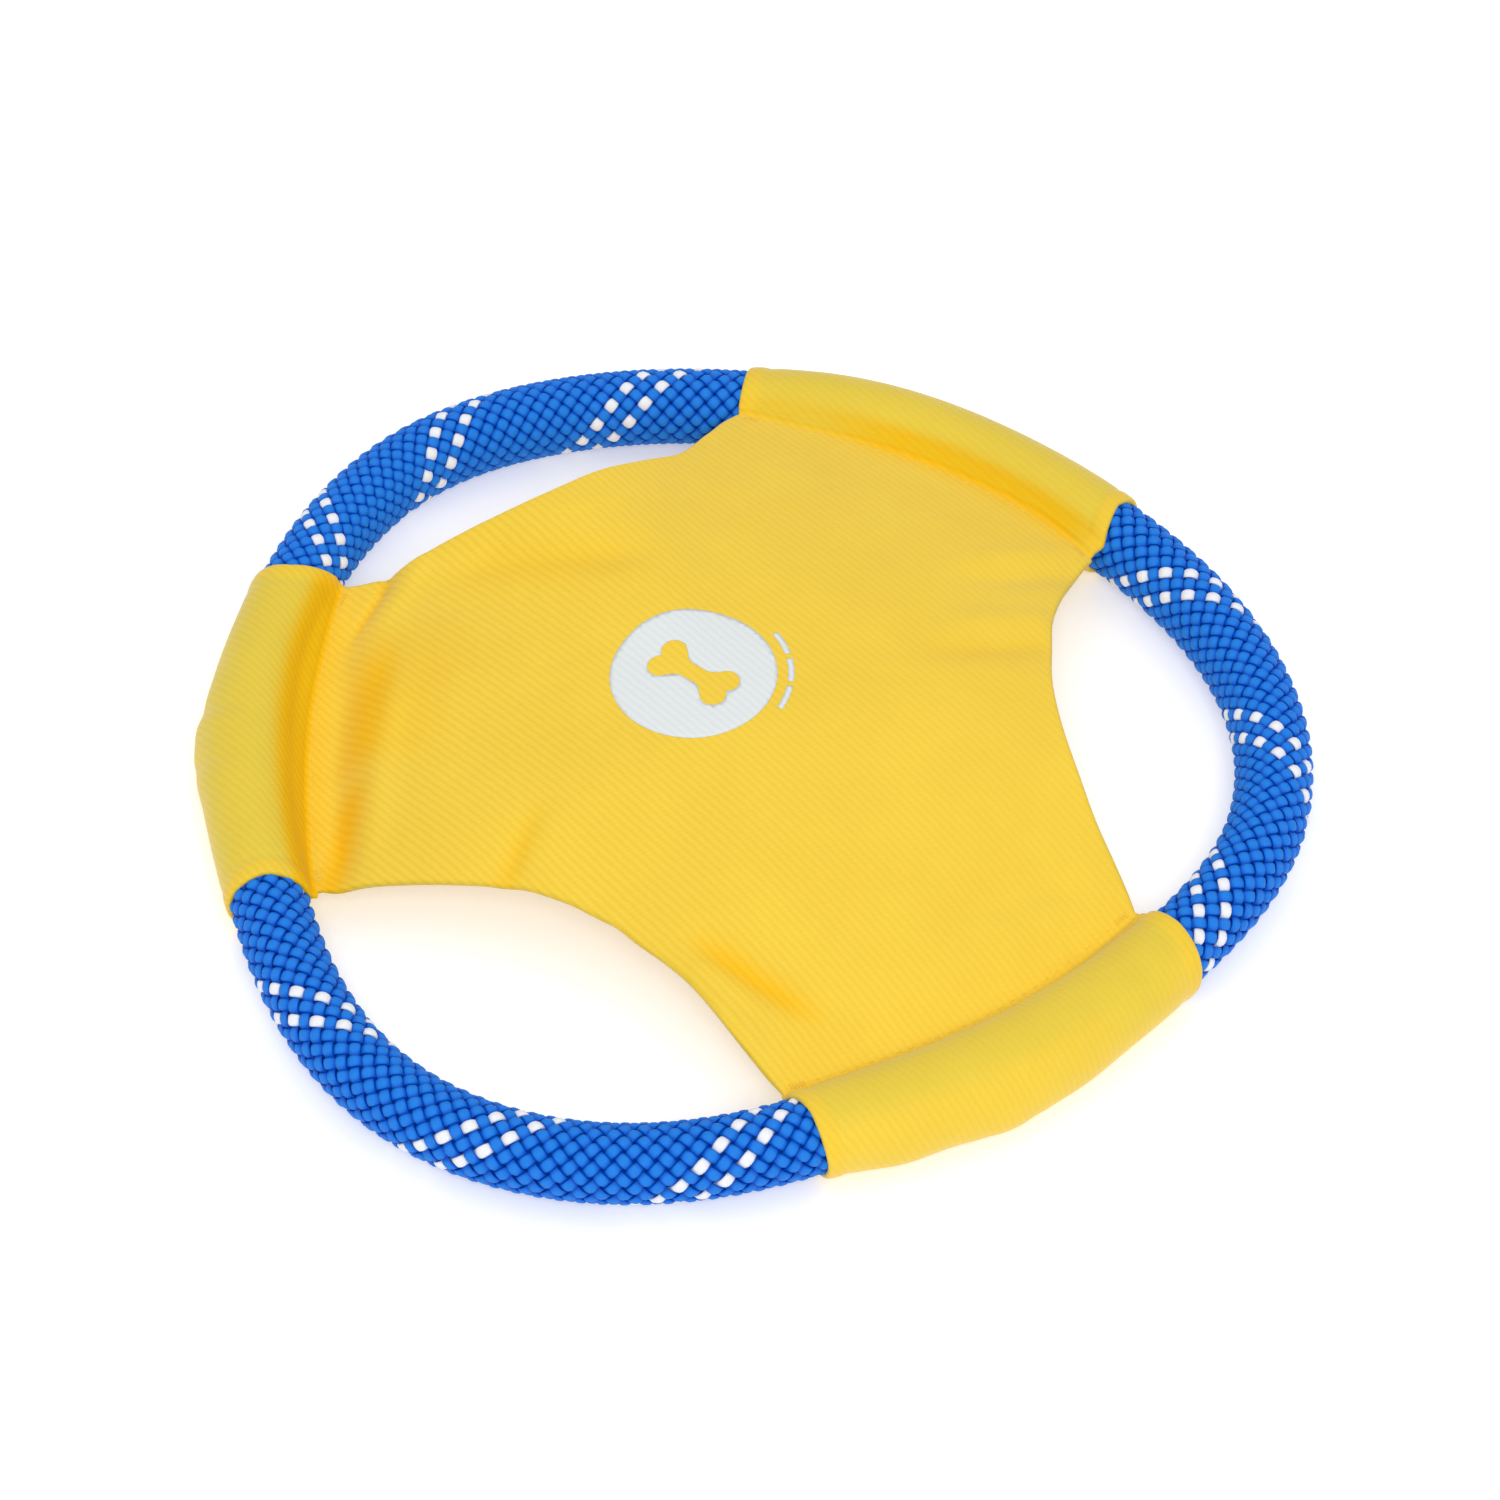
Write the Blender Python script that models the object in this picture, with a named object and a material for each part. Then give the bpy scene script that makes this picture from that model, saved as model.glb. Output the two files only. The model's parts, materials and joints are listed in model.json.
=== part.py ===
"""Soft flying ring: a braided rope ring held by three loose fabric sleeves at the
corners of a domed two-ply fabric panel. Metres, +Z up, front -Y, right +X. The origin
is the middle of the footprint, on the plane the ring rests on. Directions are degrees
anticlockwise from +X, seen from above."""

import math

import bmesh
import bpy
import numpy as np
from mathutils import Vector

MM = 0.001

# ---------------------------------------------------------------- driving dimensions
# Rope centreline seen from above: a circle drawn in by the sleeves. Each row is
# (direction in degrees, distance from the ring's centre in mm) of one station; a
# smooth closed curve runs through them.
RING_STATIONS = (
    (3, 97.4),      # crown of the right free arc
    (15, 95.4),     # right free arc, rear half
    (39, 89.5),     # rear sleeve, first mouth
    (64, 88.0),     # rear sleeve, middle
    (89, 89.5),     # rear sleeve, second mouth
    (112, 94.5),    # rear-left free arc, rear half
    (128, 97.6),    # crown of the rear-left free arc
    (150, 94.3),    # left sleeve, first mouth
    (173, 90.6),    # left sleeve, middle
    (199, 90.2),    # left sleeve, second mouth
    (231, 96.6),    # crown of the front-left free arc
    (278, 84.6),    # front sleeve, first mouth
    (304, 83.4),    # front sleeve, middle
    (331, 88.9),    # front sleeve, second mouth
    (350, 96.4),    # right free arc, front half
)
ROPE_Z = 8.6 * MM               # height of the rope's centreline
SIDE_STEP = 0.5                 # degrees each way over which the rope's course is read

SLEEVES = ((39.0, 88.5), (150.0, 199.0), (277.5, 330.5))   # rear, left, front: degrees
SLEEVE_R = 9.7 * MM             # outer radius of a sleeve round the rope
SLEEVE_STEPS = 7                # pieces of a sleeve's arc over the rope
SEAM_IN = 11.0 * MM             # seam line's distance inside the rope's centreline
SEAM_Z = 11.0 * MM              # height of the seam's crease
FLAP = 7.0 * MM                 # hem allowance beyond the seam, under the panel

SEGMENTS = 48                   # straight pieces round the rope
SHEATH_SIDES = 10
SHEATH_R = 6.2 * MM             # surface of the sheath under the proud tracer yarns
SHEATH_BORE = 5.1 * MM          # radius of the sheath's bore
CORE_STRANDS = 3                # parallel filler strands
CORE_R = 1.85 * MM
CORE_OFFSET = 2.42 * MM         # from the rope's axis to a strand's
CORE_SIDES = 6
CORE_TURN = 30.0                # degrees a strand's profile is turned
TRACER_IN = 6.56 * MM           # a tracer yarn's inner and outer distance from the
TRACER_OUT = 7.0 * MM           # rope's axis; the outer one is the rope's radius
TRACER_WIDTH = 2.5 * MM
TRACER_TURNS = 14.5             # turns of the helix round the whole ring
TRACER_START = 75.0             # degrees round the rope at the first end
TRACER_STEP = 60.0              # degrees round the rope between the two tracers
TRACER_SPLITS = 3               # tracer steps in one straight piece of rope
JOINT_AT = sum(SLEEVES[2]) / 2  # the rope's butt joint, midway in the front sleeve
JOINT_GAP = 0.35                # half the gap between the rope's ends, degrees
WRAP_IN = 7.3 * MM              # band that holds the butt joint
WRAP_OUT = 7.8 * MM
WRAP_HALF = 17.0                # degrees each side of the joint
WRAP_SIDES = 16

PLY = 0.55 * MM                 # thickness of the outer fabric
LINING = 0.5 * MM               # thickness of the inner fabric
LINING_SHORT = 1.3 * MM         # from the panel's rim in to the lining's
PLY_PITCH = 0.85 * MM           # upper ply's top to lining's top
STACK = 2.2 * MM                # upper ply's top to the hem flap's underside

DOME_Z = 26.0 * MM              # height of the panel's crown
DOME_POWER = 2.2                # shape of the dome's fall towards the seam
# Free edges in the order rear-left, front-left, right: the distance of each one's
# middle from the centre, and how far slack lifts it or tension lowers it.
CUTOUT_R = (62.0 * MM, 49.5 * MM, 58.5 * MM)
EDGE_LIFT = (7.0 * MM, -3.0 * MM, 1.0 * MM)
CUTOUT_POWER = 3.0              # how sharply an edge turns out towards its ends
EDGE_COLUMNS = 8                # cells along one free edge
INNER_ROWS = (0.42, 0.76)       # the grid's inner rows, as shares of the rim's radius

HOLES = 8                       # needle holes along one seam
HOLE_MARGIN = 2.6               # degrees from the sleeve's mouth to its first hole
HOLE_HALF = 0.5                 # half a hole's width, degrees
HOLE_FROM = 2.4 * MM            # a hole's near and far edge, inside the seam's crease
HOLE_TO = 3.7 * MM
THREAD = 0.5 * MM
TACK_WIDTH = 0.6 * MM           # width of a bar tack's thread
TACK_HOLES = 2                  # holes a bar tack takes at each end of the seam
THREAD_TAIL = 0.36              # seam thread beyond its last holes, in hole pitches
CLEAR = 0.3 * MM                # gap between the fabric and the threads or print

BADGE_R = 15.3 * MM
BADGE_AT = (-8.3 * MM, 8.1 * MM)
BADGE_T = 0.3 * MM
BADGE_SIDES = 28
BADGE_RINGS = (0.5, 1.0)        # rings of points, as shares of the badge's radius

# ---------------------------------------------------------------- clean scene
for item in list(bpy.data.objects):
    bpy.data.objects.remove(item, do_unlink=True)

scene = bpy.context.scene


# ---------------------------------------------------------------- ring outline
def closed_cubic(stations):
    """Radius as a smooth closed function of direction, through the stations."""
    knots = np.array([station[0] for station in stations], float)
    radii = np.array([station[1] for station in stations], float) * MM
    count = len(knots)
    gaps = np.diff(np.append(knots, knots[0] + 360.0))
    matrix = np.zeros((count, count))
    slope_changes = np.zeros(count)
    for i in range(count):
        before, after = (i - 1) % count, (i + 1) % count
        matrix[i, before] += gaps[before]
        matrix[i, i] += 2.0 * (gaps[before] + gaps[i])
        matrix[i, after] += gaps[i]
        slope_changes[i] = 6.0 * (
            (radii[after] - radii[i]) / gaps[i]
            - (radii[i] - radii[before]) / gaps[before]
        )
    # Second derivative of the radius at each knot.
    bends = np.linalg.solve(matrix, slope_changes)

    def radius(direction):
        wrapped = (direction - knots[0]) % 360.0 + knots[0]
        i = int(np.searchsorted(knots, wrapped, side="right")) - 1
        after = (i + 1) % count
        gap = gaps[i]
        done = wrapped - knots[i]
        left = gap - done
        return (
            bends[i] * left ** 3 / (6 * gap)
            + bends[after] * done ** 3 / (6 * gap)
            + (radii[i] / gap - bends[i] * gap / 6) * left
            + (radii[after] / gap - bends[after] * gap / 6) * done
        )

    return radius


ring_radius = closed_cubic(RING_STATIONS)


def polar(direction, radius, z):
    angle = math.radians(direction)
    return Vector((radius * math.cos(angle), radius * math.sin(angle), z))


def rope_point(direction):
    return polar(direction, ring_radius(direction), ROPE_Z)


def rope_side(direction):
    """Unit vector square to the rope, in plan, pointing away from the centre."""
    along = rope_point(direction + SIDE_STEP) - rope_point(direction - SIDE_STEP)
    return Vector((along.y, -along.x, 0.0)).normalized()


# ---------------------------------------------------------------- helpers
def material(name, colour, roughness):
    mat = bpy.data.materials.new(name)
    mat.use_nodes = True
    bsdf = mat.node_tree.nodes["Principled BSDF"]
    bsdf.inputs["Base Color"].default_value = (*colour, 1.0)
    bsdf.inputs["Roughness"].default_value = roughness
    mat.diffuse_color = (*colour, 1.0)
    return mat


def pivot(name):
    empty = bpy.data.objects.new(name, None)
    scene.collection.objects.link(empty)
    return empty


def add(name, surface, mat, parent):
    """Turn a bmesh into a smooth-shaded object with sharp corners kept."""
    mesh = bpy.data.meshes.new(name)
    bmesh.ops.recalc_face_normals(surface, faces=surface.faces[:])
    surface.to_mesh(mesh)
    surface.free()
    mesh.materials.append(mat)
    mesh.shade_smooth()
    mesh.set_sharp_from_angle(angle=math.radians(40))
    obj = bpy.data.objects.new(name, mesh)
    scene.collection.objects.link(obj)
    obj.parent = parent
    return obj


def new_rings(surface, rings):
    return [[surface.verts.new(point) for point in ring] for ring in rings]


def skin(rings, closed_path=False, halved=False):
    """A surface through equal rings of points, with flat ends when it isn't a loop.
    halved splits each face along its short diagonal, for a strip that winds."""
    surface = bmesh.new()
    grid = new_rings(surface, rings)
    sides = len(rings[0])
    spans = len(grid) if closed_path else len(grid) - 1
    for i in range(spans):
        here, there = grid[i], grid[(i + 1) % len(grid)]
        for j in range(sides):
            k = (j + 1) % sides
            corners = (here[j], here[k], there[k], there[j])
            if not halved:
                surface.faces.new(corners)
            elif (here[j].co - there[k].co).length < (here[k].co - there[j].co).length:
                surface.faces.new((here[j], here[k], there[k]))
                surface.faces.new((here[j], there[k], there[j]))
            else:
                surface.faces.new((here[j], here[k], there[j]))
                surface.faces.new((here[k], there[k], there[j]))
    if not closed_path:
        surface.faces.new(list(reversed(grid[0])))
        surface.faces.new(grid[-1])
    return surface


def hollow_tube(outer_rings, inner_rings):
    """A tube with a bore, its two ends closed by flat annuli."""
    surface = bmesh.new()
    outer = new_rings(surface, outer_rings)
    inner = new_rings(surface, inner_rings)
    sides = len(outer[0])
    last = len(outer) - 1
    for i in range(last):
        for j in range(sides):
            k = (j + 1) % sides
            surface.faces.new((outer[i][j], outer[i][k], outer[i + 1][k], outer[i + 1][j]))
            surface.faces.new((inner[i][k], inner[i][j], inner[i + 1][j], inner[i + 1][k]))
    for i in (0, last):
        for j in range(sides):
            k = (j + 1) % sides
            surface.faces.new((outer[i][j], outer[i][k], inner[i][k], inner[i][j]))
    return surface


def solidify(obj, thickness, offset):
    mod = obj.modifiers.new("Thickness", "SOLIDIFY")
    mod.thickness = thickness
    mod.offset = offset
    mod.use_even_offset = True
    mod.use_rim = True


# ---------------------------------------------------------------- rope
ROPE_START = JOINT_AT + JOINT_GAP
ROPE_SWEEP = 360.0 - 2 * JOINT_GAP
ROPE_DIRECTIONS = [ROPE_START + ROPE_SWEEP * i / SEGMENTS for i in range(SEGMENTS + 1)]


def frame_at(place):
    """Centre and side vector at a place counted in straight pieces along the rope."""
    i = min(int(place), SEGMENTS - 1)
    share = place - i
    start, end = ROPE_DIRECTIONS[i], ROPE_DIRECTIONS[i + 1]
    centre = rope_point(start).lerp(rope_point(end), share)
    side = rope_side(start).lerp(rope_side(end), share)
    return centre, side


def around(centre, side, radius, angle):
    """Point round the rope; angle 0 is away from the ring's centre, 90 degrees up."""
    rise = Vector((0, 0, radius * math.sin(angle)))
    return centre + side * (radius * math.cos(angle)) + rise


def tube_rings(places, radius, sides, offset=0.0, offset_angle=0.0, turn=0.0):
    """Profiles of a tube along the rope, its axis offset from the rope's."""
    rings = []
    for place in places:
        centre, side = frame_at(place)
        centre = around(centre, side, offset, offset_angle)
        rings.append([
            around(centre, side, radius, turn + 2 * math.pi * j / sides)
            for j in range(sides)
        ])
    return rings


WHOLE_ROPE = range(SEGMENTS + 1)


def build_sheath(mat, parent):
    """Braided sheath: an open tube whose two ends face each other inside a sleeve."""
    outer = tube_rings(WHOLE_ROPE, SHEATH_R, SHEATH_SIDES)
    inner = tube_rings(WHOLE_ROPE, SHEATH_BORE, SHEATH_SIDES)
    add("rope_sheath", hollow_tube(outer, inner), mat, parent)


def build_core(mat, parent):
    """Parallel filler strands inside the sheath, the first one on top."""
    for number in range(CORE_STRANDS):
        rings = tube_rings(
            WHOLE_ROPE,
            CORE_R,
            CORE_SIDES,
            offset=CORE_OFFSET,
            offset_angle=math.radians(90 + 360 / CORE_STRANDS * number),
            turn=math.radians(CORE_TURN),
        )
        add(f"core_strand_{number + 1}", skin(rings), mat, parent)


def build_tracers(mat, parent):
    """Two light yarns that run round the sheath side by side as one helix."""
    half_angle = TRACER_WIDTH / 2 / TRACER_OUT
    steps = SEGMENTS * TRACER_SPLITS
    for number in range(2):
        rings = []
        for i in range(1, steps):
            centre, side = frame_at(i / TRACER_SPLITS)
            angle = 2 * math.pi * TRACER_TURNS * i / steps
            angle += math.radians(TRACER_START + TRACER_STEP * number)
            rings.append([
                around(centre, side, TRACER_IN, angle - half_angle),
                around(centre, side, TRACER_OUT, angle - half_angle),
                around(centre, side, TRACER_OUT, angle + half_angle),
                around(centre, side, TRACER_IN, angle + half_angle),
            ])
        add(f"tracer_yarn_{number + 1}", skin(rings, halved=True), mat, parent)


def build_join_wrap(mat, parent):
    """Band round the butt joint: a short open tube over both ends."""
    reach = (WRAP_HALF - JOINT_GAP) / (ROPE_SWEEP / SEGMENTS)
    places = [SEGMENTS - reach, SEGMENTS - 2, SEGMENTS - 1, SEGMENTS, 0, 1, 2, reach]
    outer = tube_rings(places, WRAP_OUT, WRAP_SIDES)
    inner = tube_rings(places, WRAP_IN, WRAP_SIDES)
    add("join_wrap", hollow_tube(outer, inner), mat, parent)


# ---------------------------------------------------------------- fabric shape
# The free edges lie between one sleeve's last mouth and the next sleeve's first.
EDGES = tuple(
    (SLEEVES[i][1], SLEEVES[(i + 1) % 3][0] + (360.0 if i == 2 else 0.0))
    for i in range(3)
)


def seam_radius(direction):
    return ring_radius(direction) - SEAM_IN


def edge_place(direction):
    """Which free edge a direction is in, and where: -1 and 1 at its ends."""
    for i, (start, end) in enumerate(EDGES):
        for turned in (direction, direction + 360.0, direction - 360.0):
            if start <= turned <= end:
                return i, (turned - (start + end) / 2) / ((end - start) / 2)
    return None, 0.0


def rim_radius(direction):
    """Distance of the panel's rim: the seam's crease, or the curved free edge."""
    edge, place = edge_place(direction)
    if edge is None:
        return seam_radius(direction)
    middle = CUTOUT_R[edge]
    return middle + (seam_radius(direction) - middle) * abs(place) ** CUTOUT_POWER


def panel_z(radius, direction):
    """Height of the upper ply's top face."""
    share = radius / seam_radius(direction)
    z = SEAM_Z + (DOME_Z - SEAM_Z) * (1.0 - share ** DOME_POWER)
    edge, place = edge_place(direction)
    if edge is not None:
        outward = (radius / rim_radius(direction)) ** 2
        z += EDGE_LIFT[edge] * (1 - place * place) ** 2 * outward
    return z


def hole_direction(sleeve, hole):
    start, end = SLEEVES[sleeve]
    return start + HOLE_MARGIN + (end - start - 2 * HOLE_MARGIN) * hole / (HOLES - 1)


def columns():
    """Grid columns in order: (direction of the line, sleeve of the cell after it or
    None in a free edge, whether that cell holds a needle hole)."""
    table = []
    for sleeve, (mouth, _) in enumerate(SLEEVES):
        table.append((mouth, sleeve, False))
        for hole in range(HOLES):
            centre = hole_direction(sleeve, hole)
            table.append((centre - HOLE_HALF, sleeve, True))
            table.append((centre + HOLE_HALF, sleeve, False))
        start, end = EDGES[sleeve]
        for step in range(EDGE_COLUMNS):
            table.append((start + (end - start) * step / EDGE_COLUMNS, None, False))
    return table


LINES, CELL_SLEEVE, HOLED = zip(*columns())
COUNT = len(LINES)


def tube_section():
    """Outer face of a sleeve from its crease over the rope and back below the panel:
    (distance outside the rope's centreline, height)."""

    def on_circle(degrees):
        angle = math.radians(degrees)
        return SLEEVE_R * math.cos(angle), ROPE_Z + SLEEVE_R * math.sin(angle)

    def touch(z, side):
        """Where a tangent from height z on the seam line meets the circle, degrees."""
        away = math.atan2(z - ROPE_Z, -SEAM_IN) % (2 * math.pi)
        half = math.acos(SLEEVE_R / math.hypot(-SEAM_IN, z - ROPE_Z))
        return math.degrees(away + side * half)

    first = touch(SEAM_Z, -1)
    last = touch(SEAM_Z - STACK, 1) - 360.0
    # The sleeve lies flat where its circle would dip below the resting plane.
    low = -math.degrees(math.asin(ROPE_Z / SLEEVE_R))
    flat = math.sqrt(SLEEVE_R ** 2 - ROPE_Z ** 2)
    points = [
        on_circle(first + (low - first) * i / SLEEVE_STEPS) for i in range(SLEEVE_STEPS)
    ]
    points += [(flat, 0.0), (-flat, 0.0)]
    points += [on_circle(((-180.0 - low) + last) / 2), on_circle(last)]
    return points


SECTION = tube_section()
PANEL_HOLE_BAND = len(INNER_ROWS)       # the rows between which the holes are left out
WING_HOLE_BAND = len(SECTION) + 2


def join_columns(surface, here, there, hole_band, holed):
    """Faces between two columns of points, left open at a needle hole."""
    for i in range(len(here) - 1):
        if i == hole_band and holed:
            continue
        surface.faces.new((here[i], here[i + 1], there[i + 1], there[i]))


def add_dome(surface, drop, rim_inset):
    """Domed sheet a drop below the upper ply's top; returns its columns of points."""
    hub = surface.verts.new((0, 0, panel_z(0.0, 0.0) - drop))
    dome = []
    for direction in LINES:
        rim = rim_radius(direction)
        radii = [share * rim for share in INNER_ROWS]
        radii += [rim - HOLE_TO, rim - HOLE_FROM, rim - rim_inset]
        dome.append([
            surface.verts.new(polar(direction, radius, panel_z(radius, direction) - drop))
            for radius in radii
        ])
    for j in range(COUNT):
        here, there = dome[j], dome[(j + 1) % COUNT]
        surface.faces.new((hub, here[0], there[0]))
        join_columns(surface, here, there, PANEL_HOLE_BAND, HOLED[j])
    return dome


def add_wing(surface, dome, sleeve):
    """Sleeve from the panel's crease round the rope, and its hem flap below."""
    cells = [j for j in range(COUNT) if CELL_SLEEVE[j] == sleeve]
    wing = []
    for j in cells + [(cells[-1] + 1) % COUNT]:
        direction = LINES[j]
        ring, rim = ring_radius(direction), seam_radius(direction)
        points = [polar(direction, ring + x, z) for x, z in SECTION]
        for inside in (0.0, HOLE_FROM, HOLE_TO, FLAP):
            radius = rim - inside
            points.append(polar(direction, radius, panel_z(radius, direction) - STACK))
        wing.append([dome[j][-1]] + [surface.verts.new(point) for point in points])
    for i, j in enumerate(cells):
        join_columns(surface, wing[i], wing[i + 1], WING_HOLE_BAND, HOLED[j])


def build_upper(mat, parent):
    """Upper ply with its three wings, each wrapped round the rope and tucked below."""
    surface = bmesh.new()
    dome = add_dome(surface, drop=0.0, rim_inset=0.0)
    for sleeve in range(3):
        add_wing(surface, dome, sleeve)
    solidify(add("panel_upper", surface, mat, parent), PLY, offset=-1.0)


def build_lining(mat, parent):
    """Lining ply, stopping short of the crease and of the free edges."""
    surface = bmesh.new()
    add_dome(surface, drop=PLY_PITCH, rim_inset=LINING_SHORT)
    solidify(add("panel_lower", surface, mat, parent), LINING, offset=-1.0)


# ---------------------------------------------------------------- threads
# Each thread lies in the upright surface over the line of needle holes.
ABOVE = CLEAR + THREAD / 2
BELOW = -STACK - CLEAR - THREAD / 2


def thread(path, width, closed=False):
    """A four-sided thread along (direction, height above the ply) points, its corners
    mitred in the upright surface that holds it."""
    points, radials = [], []
    for direction, height in path:
        radius = seam_radius(direction) - (HOLE_FROM + HOLE_TO) / 2
        points.append(polar(direction, radius, panel_z(radius, direction) + height))
        radials.append(polar(direction, 1.0, 0.0))
    count = len(points)
    leaving = [(points[(i + 1) % count] - points[i]).normalized() for i in range(count)]
    arriving = [leaving[-1]] + leaving[:-1]
    if not closed:
        arriving[0] = leaving[0]
        leaving[-1] = leaving[-2]
    rings = []
    for point, radial, before, after in zip(points, radials, arriving, leaving):
        normal = before.cross(radial).normalized()
        mitre = (normal + after.cross(radial).normalized()).normalized()
        mitre = mitre * (THREAD / 2 / max(0.5, mitre.dot(normal)))
        across = radial * (width / 2)
        rings.append([
            point + mitre + across,
            point + mitre - across,
            point - mitre - across,
            point - mitre + across,
        ])
    return skin(rings, closed_path=closed)


def build_seam_thread(sleeve, holes, mat, parent):
    """Lockstitch seam: over and under between neighbouring holes."""
    tail = THREAD_TAIL * (holes[1] - holes[0])
    sewn = holes[TACK_HOLES:HOLES - TACK_HOLES]
    here, there = ABOVE, BELOW
    path = [(sewn[0] - tail, here)]
    for hole in sewn:
        path += [(hole, here), (hole, there)]
        here, there = there, here
    path.append((sewn[-1] + tail, here))
    add(f"seam_thread_{sleeve + 1}", thread(path, THREAD), mat, parent)


def build_bar_tacks(sleeve, holes, mat, parent):
    """A bar tack closes each end of the seam through its last holes."""
    for side, pair in enumerate((holes[:TACK_HOLES], holes[-TACK_HOLES:])):
        start, end = pair[0], pair[-1]
        loop = [(start, ABOVE), (end, ABOVE), (end, BELOW), (start, BELOW)]
        tack = thread(loop, TACK_WIDTH, closed=True)
        add(f"bar_tack_{2 * sleeve + side + 1}", tack, mat, parent)


def build_stitching(mat, parent):
    for sleeve in range(3):
        holes = [hole_direction(sleeve, hole) for hole in range(HOLES)]
        build_seam_thread(sleeve, holes, mat, parent)
        build_bar_tacks(sleeve, holes, mat, parent)


# ---------------------------------------------------------------- badge
def build_badge(mat, parent):
    """Round print near the crown, following the dome."""
    surface = bmesh.new()

    def vertex(radius, angle):
        x = BADGE_AT[0] + radius * math.cos(angle)
        y = BADGE_AT[1] + radius * math.sin(angle)
        direction = math.degrees(math.atan2(y, x)) % 360.0
        return surface.verts.new((x, y, panel_z(math.hypot(x, y), direction) + CLEAR))

    middle = vertex(0.0, 0.0)
    inner, outer = [
        [vertex(BADGE_R * share, 2 * math.pi * j / BADGE_SIDES) for j in range(BADGE_SIDES)]
        for share in BADGE_RINGS
    ]
    for j in range(BADGE_SIDES):
        k = (j + 1) % BADGE_SIDES
        surface.faces.new((middle, inner[j], inner[k]))
        surface.faces.new((inner[j], outer[j], outer[k], inner[k]))
    solidify(add("badge_print", surface, mat, parent), BADGE_T, offset=1.0)


# ---------------------------------------------------------------- origin
def centre_footprint(pivots):
    """Move the bodies together so that the footprint's middle is at the origin."""
    bpy.context.view_layer.update()
    graph = bpy.context.evaluated_depsgraph_get()
    low, high = Vector((1e9,) * 3), Vector((-1e9,) * 3)
    for obj in scene.objects:
        if obj.type != "MESH":
            continue
        evaluated = obj.evaluated_get(graph)
        for vertex in evaluated.to_mesh().vertices:
            low = Vector(map(min, low, vertex.co))
            high = Vector(map(max, high, vertex.co))
        evaluated.to_mesh_clear()
    for empty in pivots:
        empty.location = (-(low.x + high.x) / 2, -(low.y + high.y) / 2, 0.0)
    bpy.context.view_layer.update()


# ---------------------------------------------------------------- assembly
rope_blue = material("rope_blue", colour=(0.012, 0.130, 0.560), roughness=0.55)
tracer_white = material("tracer_white", colour=(0.80, 0.82, 0.86), roughness=0.35)
core_white = material("core_white", colour=(0.72, 0.70, 0.64), roughness=0.75)
wrap_film = material("wrap_film", colour=(0.55, 0.58, 0.62), roughness=0.40)
fabric_yellow = material("fabric_yellow", colour=(0.890, 0.560, 0.045), roughness=0.70)
thread_yellow = material("thread_yellow", colour=(0.780, 0.470, 0.040), roughness=0.60)
print_white = material("print_white", colour=(0.800, 0.820, 0.860), roughness=0.50)

rope_pivot = pivot("rope_pivot")
cover_pivot = pivot("cover_pivot")

build_sheath(rope_blue, rope_pivot)
build_core(core_white, rope_pivot)
build_tracers(tracer_white, rope_pivot)
build_join_wrap(wrap_film, rope_pivot)

build_upper(fabric_yellow, cover_pivot)
build_lining(fabric_yellow, cover_pivot)
build_stitching(thread_yellow, cover_pivot)
build_badge(print_white, cover_pivot)

centre_footprint((rope_pivot, cover_pivot))
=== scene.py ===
"""Looks of a soft flying ring: braided rope ring, domed two-ply fabric cover with three
sewn sleeves, stitching and a round print, on a plain pale floor.

The ring lies flat on the floor at z = 0. Lengths are in mm, with x and y about the rope
ring's centre. Directions are in degrees, anticlockwise from +X seen from above; the front
is -Y. Sleeves are numbered rear right, left, front right, and free edges rear left, front
left, right.
"""
import json
import math

import bmesh
import bpy
import numpy as np
from mathutils import Matrix, Vector, geometry


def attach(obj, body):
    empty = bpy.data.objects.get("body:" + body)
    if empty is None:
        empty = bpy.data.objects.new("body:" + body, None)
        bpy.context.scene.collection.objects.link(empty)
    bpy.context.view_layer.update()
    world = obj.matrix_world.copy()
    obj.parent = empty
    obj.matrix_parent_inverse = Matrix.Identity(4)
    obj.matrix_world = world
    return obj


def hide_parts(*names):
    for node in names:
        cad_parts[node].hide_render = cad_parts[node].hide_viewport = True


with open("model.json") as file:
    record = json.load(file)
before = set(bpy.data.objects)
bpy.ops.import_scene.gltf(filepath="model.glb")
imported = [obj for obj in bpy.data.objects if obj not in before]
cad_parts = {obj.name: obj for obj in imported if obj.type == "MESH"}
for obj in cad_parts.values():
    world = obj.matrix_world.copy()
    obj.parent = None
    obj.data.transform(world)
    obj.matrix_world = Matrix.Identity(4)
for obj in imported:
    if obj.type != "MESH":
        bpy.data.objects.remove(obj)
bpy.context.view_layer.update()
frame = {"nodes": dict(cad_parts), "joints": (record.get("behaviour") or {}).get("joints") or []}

MM = 0.001
PIVOT = np.array(frame["joints"][0]["pos_m"], float) * 1000.0   # ring centre
CENTRE = np.array([PIVOT[0], PIVOT[1], 0.0])
ROPE_Z = PIVOT[2]
COVER, ROPE = "fabric_cover", "rope_ring"


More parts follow.
